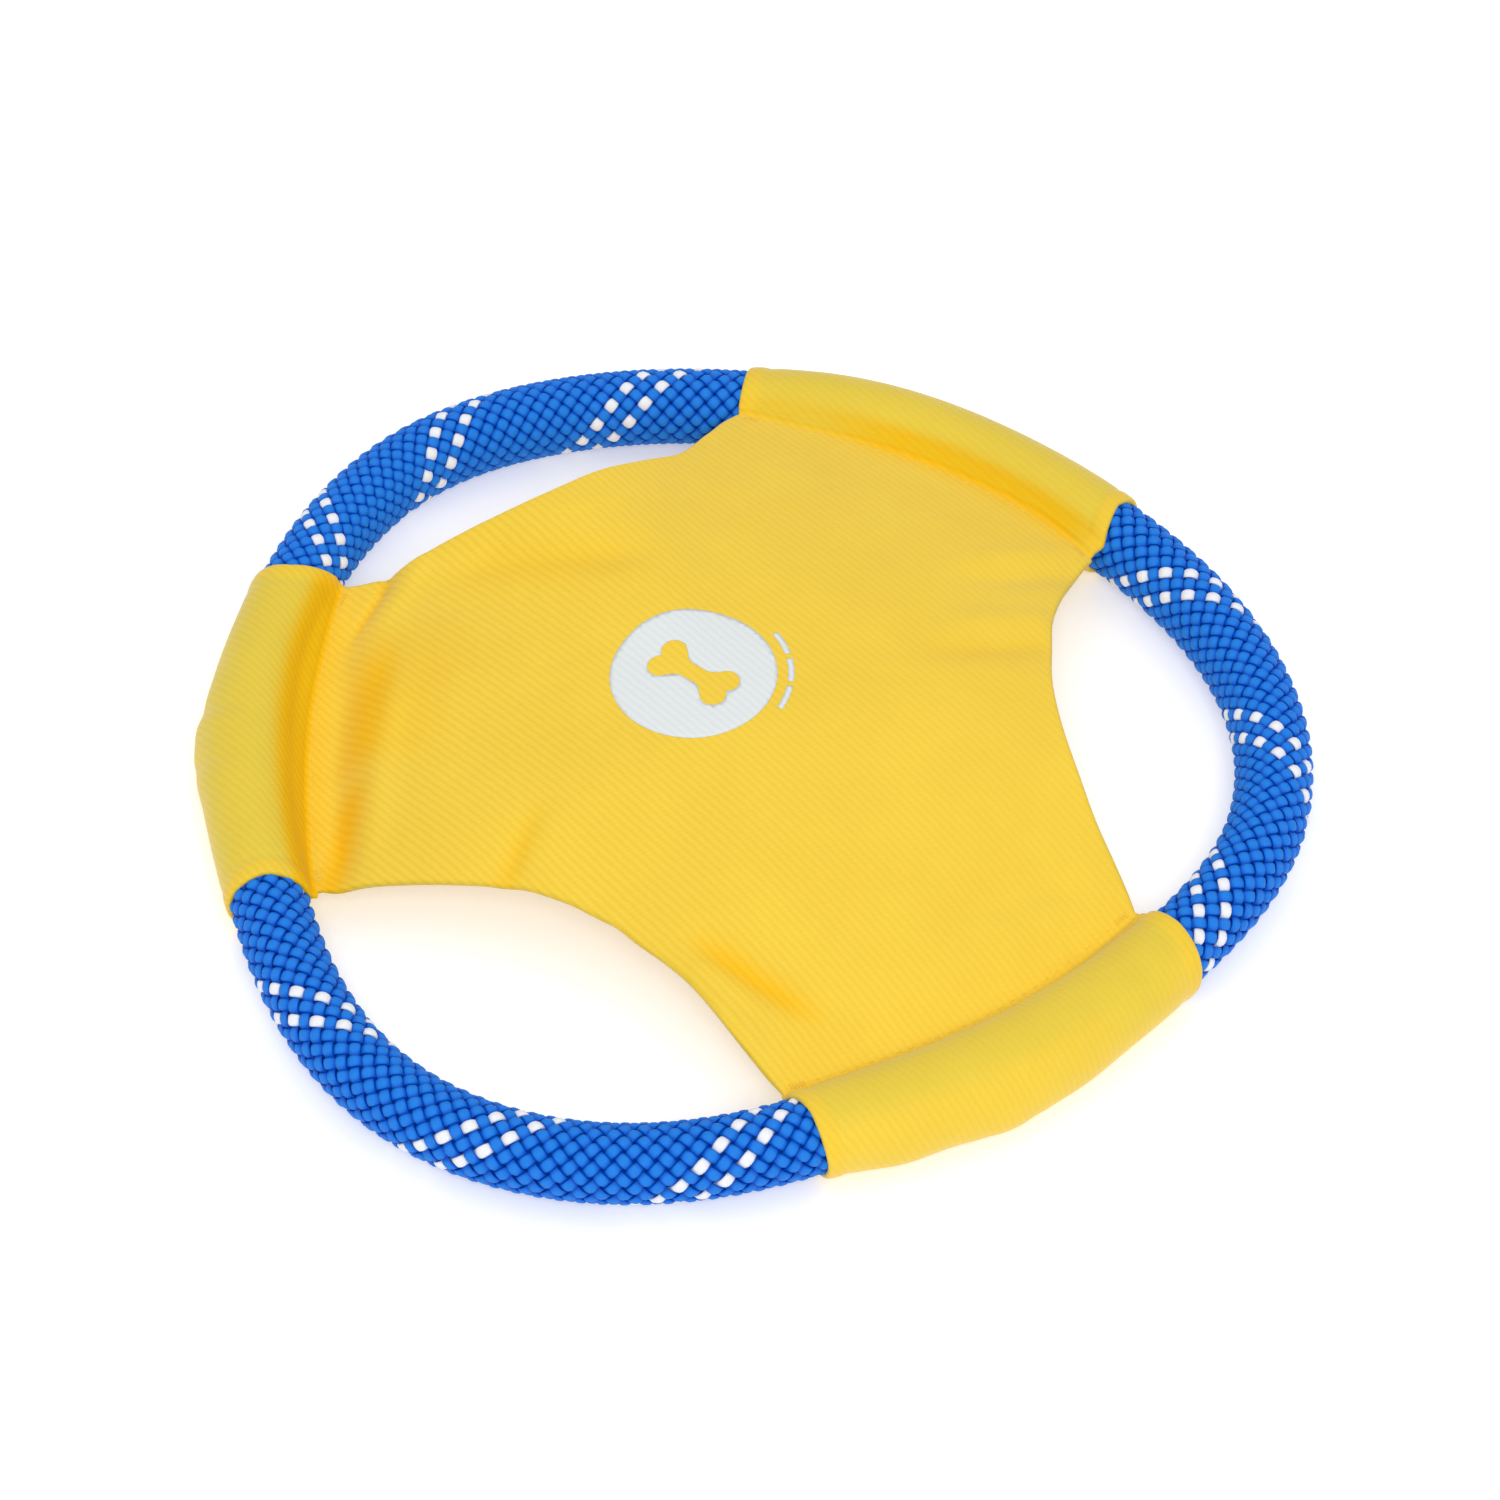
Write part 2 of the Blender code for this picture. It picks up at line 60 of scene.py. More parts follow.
# ------------------------------------------------------------------ curves and weights
def spline(xs, ys, period=None):
    """Cubic spline through stations: natural, or closed when a period is given."""
    xs, ys = np.asarray(xs, float), np.asarray(ys, float)
    flat = ys.ndim == 1
    if flat:
        ys = ys[:, None]
    count = len(xs)
    if period:
        gaps = np.diff(np.append(xs, xs[0] + period))
        system, target = np.zeros((count, count)), np.zeros(ys.shape)
        for i in range(count):
            prev, after = (i - 1) % count, (i + 1) % count
            system[i, prev] += gaps[prev]
            system[i, i] += 2 * (gaps[prev] + gaps[i])
            system[i, after] += gaps[i]
            target[i] = 6 * ((ys[after] - ys[i]) / gaps[i] - (ys[i] - ys[prev]) / gaps[prev])
        bend = np.linalg.solve(system, target)
        xs, ys = np.append(xs, xs[0] + period), np.vstack([ys, ys[:1]])
        bend = np.vstack([bend, bend[:1]])
    else:
        gaps = np.diff(xs)
        system, target = np.eye(count), np.zeros(ys.shape)
        for i in range(1, count - 1):
            system[i, i - 1 : i + 2] = gaps[i - 1], 2 * (gaps[i - 1] + gaps[i]), gaps[i]
            target[i] = 6 * ((ys[i + 1] - ys[i]) / gaps[i] - (ys[i] - ys[i - 1]) / gaps[i - 1])
        bend = np.linalg.solve(system, target)

    def curve(x):
        x = np.asarray(x, float)
        shape = x.shape
        x = x.ravel()
        if period:
            x = (x - xs[0]) % period + xs[0]
        i = np.clip(np.searchsorted(xs, x, side="right") - 1, 0, len(gaps) - 1)
        gap = gaps[i][:, None]
        done = (x - xs[i])[:, None]
        if not period:
            under = np.clip(done, None, 0)
            done = np.clip(done, 0, None)
            over = np.clip(done - gap, 0, None)
            done = np.minimum(done, gap)
        left = gap - done
        value = (
            bend[i] * left ** 3 / (6 * gap)
            + bend[i + 1] * done ** 3 / (6 * gap)
            + (ys[i] / gap - bend[i] * gap / 6) * left
            + (ys[i + 1] / gap - bend[i + 1] * gap / 6) * done
        )
        if not period:      # straight on beyond both ends
            last = (ys[-1] - ys[-2]) / gaps[-1] + bend[-2] * gaps[-1] / 6
            first = (ys[1] - ys[0]) / gaps[0] - bend[1] * gaps[0] / 6
            value = value + over * last + under * first
        return value.reshape(shape) if flat else value.reshape(shape + (ys.shape[1],))

    return curve


def bell(x):
    return np.exp(-x * x)


def smooth(x):
    x = np.clip(x, 0.0, 1.0)
    return x * x * (3 - 2 * x)


def unit(vectors):
    return vectors / np.linalg.norm(vectors, axis=-1, keepdims=True)


def arc_length(points):
    """Length along a polyline up to each of its points."""
    return np.append(0, np.cumsum(np.linalg.norm(np.diff(points, axis=0), axis=1)))


def interp_rows(x, stations, rows):
    return np.stack([np.interp(x, stations, rows[:, k]) for k in range(rows.shape[1])], -1)


def spread(fine, density, step):
    """Places along a fine scale, a step apart where the density is 1."""
    total = np.append(0, np.cumsum((density[1:] + density[:-1]) / 2 * np.diff(fine)))
    count = max(8, int(round(total[-1] / step)))
    return np.interp(np.linspace(0, total[-1], count + 1), total, fine)


# ------------------------------------------------------------------ ring and panel shape
# Rope centreline: (direction, radius).
RING = (
    (3, 97.4), (15, 95.4), (39, 89.5), (64, 88.0), (89, 89.5), (112, 94.5), (128, 97.6),
    (150, 94.3), (173, 90.6), (199, 90.2), (231, 96.6), (271, 87.0), (278, 84.7), (304, 83.4),
    (331, 88.9), (350, 96.4),
)
# Directions where each sleeve starts and ends; the free edges lie between them.
SLEEVES = ((36.0, 89.4), (150.2, 199.3), (276.8, 330.8))
EDGES = tuple(
    (SLEEVES[i][1], SLEEVES[(i + 1) % 3][0] + (360.0 if i == 2 else 0.0)) for i in range(3)
)

ring_radius = spline(*zip(*RING), period=360.0)

# The rope's centreline, from its butt joint round and back.
JOINT_DEG = 304.0
line_deg = np.linspace(JOINT_DEG, JOINT_DEG + 360.0, 3601)
line_radius = ring_radius(line_deg)
line_xy = np.stack(
    [line_radius * np.cos(np.radians(line_deg)), line_radius * np.sin(np.radians(line_deg))], -1
)
line_tangent = np.gradient(line_xy, axis=0)
line_tangent[0] = line_tangent[-1] = line_xy[1] - line_xy[-2]
line_tangent = unit(line_tangent)
line_length = arc_length(line_xy)
ROPE_LENGTH = line_length[-1]


def rope_at(deg):
    """Centre, outward normal and tangent of the rope in plan at a direction."""
    turned = (np.asarray(deg, float) - JOINT_DEG) % 360.0 + JOINT_DEG
    centre = interp_rows(turned, line_deg, line_xy)
    tangent = unit(interp_rows(turned, line_deg, line_tangent))
    return centre, np.stack([tangent[..., 1], -tangent[..., 0]], -1), tangent


# Seam lines: directions, then distances inside the rope's centreline.
seam_inset = spline(
    (28, 36.0, 41, 47, 56, 66, 76, 83, 89.4, 96, 105, 140, 150.2, 158, 168, 180, 190, 199.3,
     215, 265, 276.8, 286, 300, 315, 330.8, 345),
    (9.8, 9.8, 8.9, 8.5, 8.9, 9.1, 8.9, 8.2, 6.9, 7.8, 9.0, 9.0, 8.9, 10.2, 11.1, 11.0, 10.1,
     8.9, 9.5, 9.5, 9.3, 9.6, 9.8, 9.8, 9.9, 9.5),
    period=360.0,
)
# Directions, then seam heights. The cover has rolled a little on the rope at the rear, so
# its seam sits higher there.
seam_rise = spline(
    (20, 36.0, 50, 64, 78, 89.4, 105, 135, 150.2, 165, 185, 199.3, 220, 258, 276.8, 290,
     310, 330.8, 350),
    (12.6, 12.6, 12.9, 13.2, 13.6, 13.9, 13.2, 11.2, 10.2, 9.9, 9.8, 9.9, 10.0, 10.0, 10.0,
     10.0, 10.0, 10.2, 11.4),
    period=360.0,
)
# Rims of the free edges: (direction, distance from the centre).
RIM = (
    ((91.6, 80.0), (93.1, 77.0), (95.1, 73.8), (97.2, 70.6), (99.4, 68.3), (102.4, 66.6),
     (106.2, 65.1), (113.8, 63.4), (121.0, 62.6), (127.0, 63.4), (133.7, 66.6), (137.7, 69.9),
     (141.0, 73.0), (144.4, 75.6), (146.6, 78.0), (148.4, 81.4)),
    ((207.9, 66.2), (214.9, 57.7), (221.2, 52.6), (227.2, 50.1), (232.8, 48.9), (238.2, 48.8),
     (243.5, 49.1), (248.6, 50.7), (253.8, 52.6), (259.0, 55.6), (264.4, 60.3), (270.0, 67.3)),
    ((338.1, 71.0), (342.2, 66.5), (346.7, 63.2), (351.4, 60.6), (356.4, 58.6), (362.0, 57.4),
     (368.1, 57.2), (377.3, 59.3), (381.7, 61.3), (385.5, 63.9), (388.5, 66.9), (391.3, 70.9),
     (393.3, 74.7)),
)
DOME_TOP, DOME_POWER = 26.0, 2.2
EDGE_LIFT = (7.0, -3.0, 1.0)        # rise of each free edge at its middle
EDGE_RADIUS = (62.0, 49.5, 58.5)    # its distance from the centre there
SEAM_DIP = (0.0, 1.75, 0.6)         # how far the panel dips beside each sleeve's seam
DIP_WIDTH = 4.0                     # half width of the dip, and its distance from the seam

# Soft folds of the panel: (height, half width, taper at start, taper at end, plan points).
LEFT_PINCH = ((-64.3, 46.0), (-67.0, 38.5), (-70.6, 32.5), (-74.0, 26.0))
FOLDS = (
    # pinched corner by the left sleeve's rear mouth
    (-1.2, 1.3, 0.0, 0.6, LEFT_PINCH),
    (0.3, 3.0, 0.0, 0.7, ((-70.5, 44.5), (-73.5, 37.0), (-77.0, 28.0))),
    (0.8, 2.6, 0.0, 0.7, ((-60.0, 44.0), (-63.5, 36.0), (-68.0, 28.0))),
    # hollow between the left sleeve's stitched edge and the dome
    (-1.3, 3.4, 0.3, 0.2, ((-70.5, 26.0), (-72.3, 12.0), (-73.3, -1.0), (-73.2, -14.0),
                           (-72.4, -25.0), (-71.5, -33.0))),
    (0.9, 3.2, 0.3, 0.2, ((-61.0, 26.0), (-63.5, 12.0), (-65.5, -2.0), (-66.5, -15.0),
                          (-67.0, -26.0))),
    # slack along the rear-left edge
    (-1.2, 4.0, 0.3, 0.3, ((-60.0, 40.0), (-44.0, 40.5), (-25.0, 37.5), (-12.0, 37.5))),
    (0.6, 4.0, 0.3, 0.3, ((-58.0, 48.0), (-40.0, 49.5), (-22.0, 50.0))),
    # small pinch at the front-left edge
    (-0.7, 2.2, 0.25, 0.6, ((-43.5, -36.0), (-40.0, -27.0), (-36.0, -17.0))),
    (0.5, 3.0, 0.2, 0.6, ((-38.0, -36.0), (-34.5, -27.0), (-30.5, -17.0))),
    # long hollow from the front-left edge to the front-right sleeve
    (0.8, 2.6, 0.3, 0.3, ((-13.0, -49.5), (-1.0, -60.0), (9.0, -67.5))),
    (-1.4, 3.2, 0.3, 0.3, ((-11.5, -45.0), (3.0, -55.5), (17.5, -63.6))),
    # faint puckers by the right edge and its ends
    (-0.7, 3.2, 0.5, 0.1, ((28.0, 14.0), (44.0, 16.5), (58.0, 19.0))),
    (0.5, 3.0, 0.5, 0.1, ((32.0, 22.0), (46.0, 24.5), (58.0, 27.0))),
    (0.6, 3.0, 0.2, 0.5, ((68.0, 49.0), (55.0, 45.0), (38.0, 40.0))),
    (-0.7, 3.2, 0.2, 0.5, ((68.0, 42.0), (54.0, 38.0), (36.0, 33.0))),
    (-0.9, 4.0, 0.4, 0.3, ((32.0, -44.0), (48.0, -36.0), (66.0, -29.0))),
    (0.5, 4.0, 0.4, 0.3, ((40.0, -52.0), (54.0, -44.0), (68.0, -36.0))),
    (0.45, 2.4, 0.1, 0.6, ((60.0, -46.0), (48.0, -50.0), (34.0, -52.0))),
    # shallow crease running in from the rear-right sleeve's left end
    (-0.5, 2.6, 0.1, 0.6, ((-8.0, 76.0), (-11.0, 64.0), (-12.0, 50.0))),
)
# Where deep folds lie in their own shadow: (amount, half width, tapers, plan points).
SHADES = (
    (0.55, 1.0, 0.0, 0.5, LEFT_PINCH),
    (0.80, 4.8, 0.4, 0.3, ((-63.5, 33.0), (-66.5, 20.0), (-68.3, 5.0), (-70.0, -9.0))),
    (0.85, 3.0, 0.4, 0.05, ((-69.0, 0.0), (-71.0, -12.0), (-72.8, -22.0), (-74.8, -31.5))),
    (0.28, 9.0, 0.4, 0.3, ((-56.0, 33.0), (-59.0, 20.0), (-61.0, 5.0), (-63.0, -9.0))),
    (0.30, 5.0, 0.4, 0.4, ((-60.0, 38.0), (-46.0, 38.0), (-28.0, 36.0), (-12.0, 36.0))),
    (0.42, 2.2, 0.1, 0.6, ((-43.0, -36.0), (-39.0, -27.0), (-34.5, -16.0))),
    (0.75, 2.5, 0.35, 0.4, ((-11.5, -46.0), (-4.0, -51.5), (3.0, -56.5), (10.0, -60.6),
                            (18.0, -64.5))),
    (0.18, 3.0, 0.5, 0.1, ((28.0, 13.0), (44.0, 15.5), (58.0, 18.0))),
)


def along(x, y, points):
    """Distance to a polyline and how far along it, 0 to 1, of the nearest point."""
    points = np.asarray(points, float)
    lengths = np.linalg.norm(np.diff(points, axis=0), axis=1)
    starts = arc_length(points)
    best = np.full(np.shape(x), 1e9)
    place = np.zeros(np.shape(x))
    for tail, head, start, length in zip(points[:-1], points[1:], starts, lengths):
        step_x, step_y = (head[0] - tail[0]) / length, (head[1] - tail[1]) / length
        run = np.clip((x - tail[0]) * step_x + (y - tail[1]) * step_y, 0, length)
        away = np.hypot(x - tail[0] - run * step_x, y - tail[1] - run * step_y)
        near = away < best
        best = np.where(near, away, best)
        place = np.where(near, (start + run) / starts[-1], place)
    return best, place


def fold(x, y, amount, half_width, start_taper, end_taper, points):
    """Strength of one fold or shade over plan points."""
    away, place = along(x, y, points)
    ends = (smooth(place / start_taper) if start_taper else 1.0) * (
        smooth((1 - place) / end_taper) if end_taper else 1.0)
    return amount * bell(away / half_width) * ends


def off_middle(deg, span):
    """Where a direction lies in a span: 0 at its middle, -1 and 1 at its ends."""
    start, end = span
    return ((deg - (start + end) / 2 + 180) % 360 - 180) / ((end - start) / 2)


def height(x, y):
    """Height of the panel's top face over a plan point."""
    x, y = np.asarray(x, float), np.asarray(y, float)
    rho, deg = np.hypot(x, y), np.degrees(np.arctan2(y, x)) % 360.0
    seam = ring_radius(deg) - seam_inset(deg)
    low = seam_rise(deg)
    z = low + (DOME_TOP - low) * (1 - (rho / seam) ** DOME_POWER)
    for span, lift, radius in zip(EDGES, EDGE_LIFT, EDGE_RADIUS):
        off = off_middle(deg, span)
        rim = radius + (seam - radius) * np.abs(np.clip(off, -1, 1)) ** 3
        z = z + np.where(np.abs(off) < 1, lift * (1 - off * off) ** 2 * (rho / rim) ** 2, 0)
    for span, dip in zip(SLEEVES, SEAM_DIP):
        near = 1 - smooth((np.abs(off_middle(deg, span)) - 0.75) / 0.5)
        z = z - dip * bell((rho - seam + DIP_WIDTH) / DIP_WIDTH) * near
    for entry in FOLDS:
        z = z + fold(x, y, *entry)
    return z


def shade_at(x, y):
    """Shading of the panel's folds over plan points."""
    total = np.zeros(np.shape(x))
    for entry in SHADES:
        total = np.maximum(total, fold(x, y, *entry))
    return total


def on_top(xy, lift):
    """Points a lift above the panel's top face."""
    xy = np.asarray(xy, float)
    return np.concatenate([xy, (height(xy[..., 0], xy[..., 1]) + lift)[..., None]], -1)


# ------------------------------------------------------------------ columns of the cover
COLUMN_STEP = 1.15
END_REACH = 4.0         # columns crowd within about this far of each end


def seam_point(deg):
    centre, outward, _ = rope_at(deg)
    return centre - outward * seam_inset(deg)[..., None]


def seam_height(deg):
    point = seam_point(np.asarray(deg, float))
    return height(point[..., 0], point[..., 1])


def resample(points, crowding):
    """Points along a dense polyline about a column step apart, closer near both ends."""
    length = arc_length(points)
    fine = np.linspace(0, length[-1], 4000)
    density = 1 + crowding * (bell(fine / END_REACH) + bell((length[-1] - fine) / END_REACH))
    return interp_rows(spread(fine, density, COLUMN_STEP), length, points)


def edge_curve(i):
    """Plan points of a free edge from one sleeve's seam to the next, finely."""
    start, end = (seam_point(np.array(deg)) for deg in EDGES[i])
    start_deg, end_deg = (np.degrees(np.arctan2(p[1], p[0])) % 360 for p in (start, end))
    if end_deg < start_deg:
        end_deg += 360.0
    stations = [(start_deg, np.hypot(*start)), *RIM[i], (end_deg, np.hypot(*end))]
    points = np.array([
        (radius * math.cos(math.radians(deg)), radius * math.sin(math.radians(deg)))
        for deg, radius in stations
    ])
    chord = arc_length(points)
    return spline(chord, points)(np.linspace(0, chord[-1], 1500))


# Outer end of each column, the sleeve it runs on into (None on a free edge) and, on a
# sleeve, its direction.
columns, column_sleeve, column_deg = [], [], []
for i in range(3):
    fine_deg = np.linspace(*SLEEVES[i], 1500)
    # The direction rides along as a third coordinate and counts in the spacing.
    for x, y, deg in resample(np.concatenate([seam_point(fine_deg), fine_deg[:, None]], 1), 0.6):
        columns.append((x, y))
        column_sleeve.append(i)
        column_deg.append(deg)
    for point in resample(edge_curve(i), 0.8)[1:-1]:
        columns.append(point)
        column_sleeve.append(None)
        column_deg.append(0.0)
columns = np.array(columns)
COUNT = len(columns)


def fan_faces(hub, grid):
    """Faces of a panel: columns of vertices round a hub."""
    out = []
    for j in range(len(grid)):
        here, beyond = grid[j], grid[(j + 1) % len(grid)]
        out.append((hub, here[0], beyond[0]))
        for k in range(len(here) - 1):
            out.append((here[k], here[k + 1], beyond[k + 1], beyond[k]))
    return out


# ------------------------------------------------------------------ cover, outer surface
ROWS = 78
verts, pattern, tube, shade = [], [], [], []    # places; flat pattern; looks


def put(place, uv, on_tube, in_shade=0.0):
    verts.append(place)
    pattern.append(uv)
    tube.append(on_tube)
    shade.append(in_shade)
    return len(verts) - 1


# Shade on the panel beside each sleeve's seam: amount by direction, and half width.
SEAM_SHADE = (
    (lambda deg: 0.45 * smooth((80.0 - deg) / 12.0) * smooth((deg - 36.0) / 6.0), 2.2),
    (lambda deg: 0.42 * smooth((deg - 149.0) / 10.0) * smooth((200.0 - deg) / 10.0), 4.2),
    (lambda deg: 0.10, 2.0),
)

hub = put((0, 0, float(height(0.0, 0.0))), (0, 0), 0.0)
share = np.linspace(0, 1, ROWS + 1)[1:]
share = share * (1.2 - 0.2 * share)             # rows close up towards the rim
plan = columns[:, None, :] * share[None, :, None]
rise = height(plan[..., 0], plan[..., 1])
# painted shade of the folds, then of the panel beside each sleeve's seam; it becomes each vertex's
# shade value
dark = shade_at(plan[..., 0], plan[..., 1])
for j in range(COUNT):
    if column_sleeve[j] is not None:
        amount, half_width = SEAM_SHADE[column_sleeve[j]]
        inside_by = np.linalg.norm(columns[j] - plan[j], axis=1)
        beside = float(amount(column_deg[j])) * bell(inside_by / half_width)
        dark[j] = np.maximum(dark[j], beside)
panel = np.zeros((COUNT, ROWS), int)
for j in range(COUNT):
    for k in range(ROWS):
        x, y = plan[j, k]
        panel[j, k] = put((x, y, rise[j, k]), (x, y), 0.0, dark[j, k])
faces = fan_faces(hub, panel)

# ------------------------------------------------------------------ sleeves
FLAP_DROP = 1.9                 # top face of the panel to the hem flap's underside
FLAP = (0.6, 1.6, 2.9, 4.3, 5.6, 6.8)       # rows of the hem flap, inside the seam
MM_PER_DEG = 1.5                # rough length along a sleeve per degree
# Angles round the rope in a sleeve's section: 0 is outward, 90 up.
ARC = np.array([158, 146, 132, 118, 104, 90, 75, 60, 45, 30, 15, 0, -15, -30, -45, -60, -75,
                -90, -105, -120, -135, -148], float)
# Mean radius of each sleeve along its length: directions, then radii.
SLEEVE_RADIUS = (
    spline((36, 42, 54, 62, 72, 79, 84, 89.6), (8.0, 8.1, 8.1, 8.3, 8.6, 8.5, 8.2, 7.85)),
    spline((150, 156, 163, 170, 180, 188, 194, 201),
           (7.9, 7.85, 8.1, 8.6, 8.75, 8.35, 7.95, 7.8)),
    spline((277, 282, 288, 294, 304, 312, 320, 331), (8.1, 8.4, 8.7, 8.9, 9.0, 8.8, 8.5, 8.15)),
)
# How far the outer side of each sleeve bulges, by direction.
BULGE = (
    lambda deg: 0.0,
    lambda deg: 1.7 * bell((deg - 176.5) / 6.0),
    lambda deg: (0.9 * bell((deg - 288.0) / 5.0) + 1.6 * bell((deg - 301.0) / 6.0)
                 + 0.7 * bell((deg - 311.0) / 5.0)),
)
# Where the mouths at each sleeve's start and end run ahead of or behind a square cut, mm
# along the rope: (seam side, top, outer side, underside).
MOUTH = (
    ((0.0, 4.4, 5.0, 3.6), (-0.4, -1.4, -3.2, -2.2)),
    ((-1.0, 3.6, 5.4, 3.0), (1.6, -1.0, -0.6, 0.0)),
    ((-0.6, 1.9, 2.9, 2.3), (0.4, -0.5, -2.8, -3.0)),
)
MOUTH_ANGLES = np.array((170.0, 90.0, 0.0, -90.0))
MOUTH_REACH = 16.0
# Small creases across the sleeves: (sleeve, direction, degrees it slants per degree round
# the tube, size, half width in degrees, centre and half width round the tube).
CREASES = (
    (1, 171.5, 0.030, -0.45, 0.9, 40.0, 45.0),
    (1, 174.0, 0.030, 0.35, 1.1, 30.0, 45.0),
    (1, 179.0, 0.024, -0.40, 0.9, 20.0, 40.0),
    (1, 182.0, 0.024, 0.25, 1.3, 30.0, 40.0),
    (2, 297.5, -0.020, -0.30, 1.1, 10.0, 45.0),
    (2, 303.5, -0.020, -0.30, 1.1, 10.0, 45.0),
    (2, 322.0, 0.020, -0.30, 1.8, 80.0, 45.0),
)
# Painted sheen and shade on each sleeve: how strongly its colour takes a paler, greener tint, by
# direction and angle round the tube.
SLEEVE_SHEEN_AND_SHADE = (
    lambda deg, angle: 0.9,
    lambda deg, angle: 0.45 + 0.55 * smooth((angle + 10.0) / 45.0),
    lambda deg, angle: (
        0.12 + 0.80 * smooth((angle - 38.0) / 40.0)
        + 0.55 * bell((deg - 321.0) / 6.0) * smooth((80.0 - angle) / 40.0)
        * smooth((angle + 5.0) / 25.0)),
)
# How deep in shade the inner wall of each sleeve is, by the same.
WALL_SHADE = (
    lambda deg, angle: smooth((angle - 130.0) / 24.0) * (
        0.35 + 0.50 * smooth((80.0 - deg) / 12.0) * smooth((deg - 36.0) / 6.0)),
    lambda deg, angle: 0.95 * smooth((angle - 114.0) / 26.0) * smooth((deg - 148.0) / 4.0),
    lambda deg, angle: 0.35 * smooth((angle - 134.0) / 20.0),
)


def section(sleeve, deg):
    """Key points (outward, height) of a sleeve's outer face, from the panel's seam over
    the rope, under it and back to the start of the hem flap."""
    inset, seam_z = float(seam_inset(deg)), float(seam_height(deg))
    flap_z = seam_z - FLAP_DROP
    crease = [(-inset, seam_z), (-inset + 0.38, seam_z - 0.14),
              (-inset + 0.74, seam_z - 0.02), (-inset + 1.10, seam_z + 0.42)]
    seam_angle = math.degrees(math.atan2(seam_z - ROPE_Z, -inset))
    first = min(ARC[0], seam_angle - 15.0)
    angle = first + (ARC[-1] - first) * ((ARC[0] - ARC) / (ARC[0] - ARC[-1]))
    radius = float(SLEEVE_RADIUS[sleeve](deg))
    radius = radius + float(BULGE[sleeve](deg)) * bell((angle + 20.0) / 38.0)
    for which, middle, slant, size, half_width, top, spread_round in CREASES:
        if which == sleeve:
            across = bell((deg - middle - slant * angle) / half_width)
            radius += size * across * bell((angle - top) / spread_round)
    # a low ridge and groove where the mouth's hem is turned
    start, end = SLEEVES[sleeve]
    gap = min(deg - start, end - deg) * MM_PER_DEG
    radius += 0.12 * bell((gap - 1.4) / 1.4) - 0.16 * bell((gap - 3.5) / 0.9)
    turned = np.radians(angle)
    wrap = np.stack([radius * np.cos(turned), ROPE_Z + radius * np.sin(turned)], -1)
    under = [(-inset + 1.2, flap_z - 0.75), (-inset + 0.35, flap_z + 0.05)]
    return np.vstack([crease, wrap, under])


# Rows round a sleeve, close together by the crease and the underside seam, placed on one
# section and shared by all.
CREASE_POINTS = 4
knots = arc_length(section(1, 175.0))
fine = np.linspace(0, knots[-1], 4000)
density = 1 / 1.05 + 1.6 * bell((fine - 1.2) / 2.2) + 0.8 * bell((fine - knots[-1]) / 2.0)
row_places = spread(fine, density, 1.0)[1:]
AROUND = len(row_places)
row_angles = np.interp(row_places, knots[CREASE_POINTS : CREASE_POINTS + len(ARC)], ARC)


def sleeve_column(sleeve, j, gaps):
    """Adds one column round a sleeve; gaps are its distances from the two mouths."""
    deg = column_deg[j]
    centre, outward, tangent = rope_at(deg)
    inset = float(seam_inset(deg))
    profile = spline(knots, section(sleeve, deg))(row_places)
    shift = sum(
        np.interp(-row_angles, -MOUTH_ANGLES, lead) * (1 - smooth(gap / MOUTH_REACH))
        for lead, gap in zip(MOUTH[sleeve], gaps)
    )
    arc = arc_length(np.vstack([[-inset, float(seam_height(deg))], profile]))[1:]
    hem = 1 - smooth((min(gaps) - 1.6) / 1.8)
    column = [panel[j, -1]]
    for q in range(AROUND):
        x, z = profile[q]
        place = centre + outward * x + tangent * shift[q]
        uv = columns[j] + outward * arc[q] + tangent * shift[q]
        sleeve_sheen_and_shade = float(SLEEVE_SHEEN_AND_SHADE[sleeve](deg, row_angles[q]))
        wall_shade = float(WALL_SHADE[sleeve](deg, row_angles[q]))
        # the tube value carries the sleeve tint, a painted sheen and shade; by each mouth it fades
        # and a little painted shade comes in, a warmer band along the hem
        column.append(put(
            (place[0], place[1], max(z, 0.05)), tuple(uv),
            float(smooth((arc[q] - 0.2) / 1.0)) * sleeve_sheen_and_shade * (1 - 0.55 * hem),
            max(wall_shade, 0.16 * hem)))
    for inside in FLAP:
        place = centre - outward * (inset + inside)
        z = float(height(place[0], place[1])) - FLAP_DROP
        uv = columns[j] + outward * (arc[-1] + inside)
        column.append(put((place[0], place[1], z), tuple(uv), 0.4))
    return column


wings = []                      # per sleeve: its column numbers and their vertices
for i in range(3):
    numbers = [j for j in range(COUNT) if column_sleeve[j] == i]
    length = arc_length(columns[numbers])
    wing = [
        sleeve_column(i, j, (reached, length[-1] - reached))
        for j, reached in zip(numbers, length)
    ]
    for here, beyond in zip(wing[:-1], wing[1:]):
        for q in range(len(here) - 1):
            faces.append((here[q], here[q + 1], beyond[q + 1], beyond[q]))
    wings.append((numbers, wing))


def vertex_normals(points, faces):
    total = np.zeros_like(points)
    for corners in (4, 3):
        group = np.array([face for face in faces if len(face) == corners])
        spots = [points[group[:, k]] for k in range(corners)]
        second = spots[3] - spots[1] if corners == 4 else spots[1] - spots[0]
        first = spots[2] - spots[0]
        normal = np.cross(first, second) if corners == 4 else np.cross(second, first)
        for k in range(corners):
            np.add.at(total, group[:, k], normal)
    return total / np.maximum(np.linalg.norm(total, axis=1), 1e-12)[:, None]


points = np.array(verts, float)
normals = vertex_normals(points, faces)

# ------------------------------------------------------------------ turned hems
BEND, FREE_BEND = 0.64, 0.16        # radius of the fold, and what a free edge adds
FREE_RUN, MOUTH_RUN = 6.0, 3.2      # width turned under
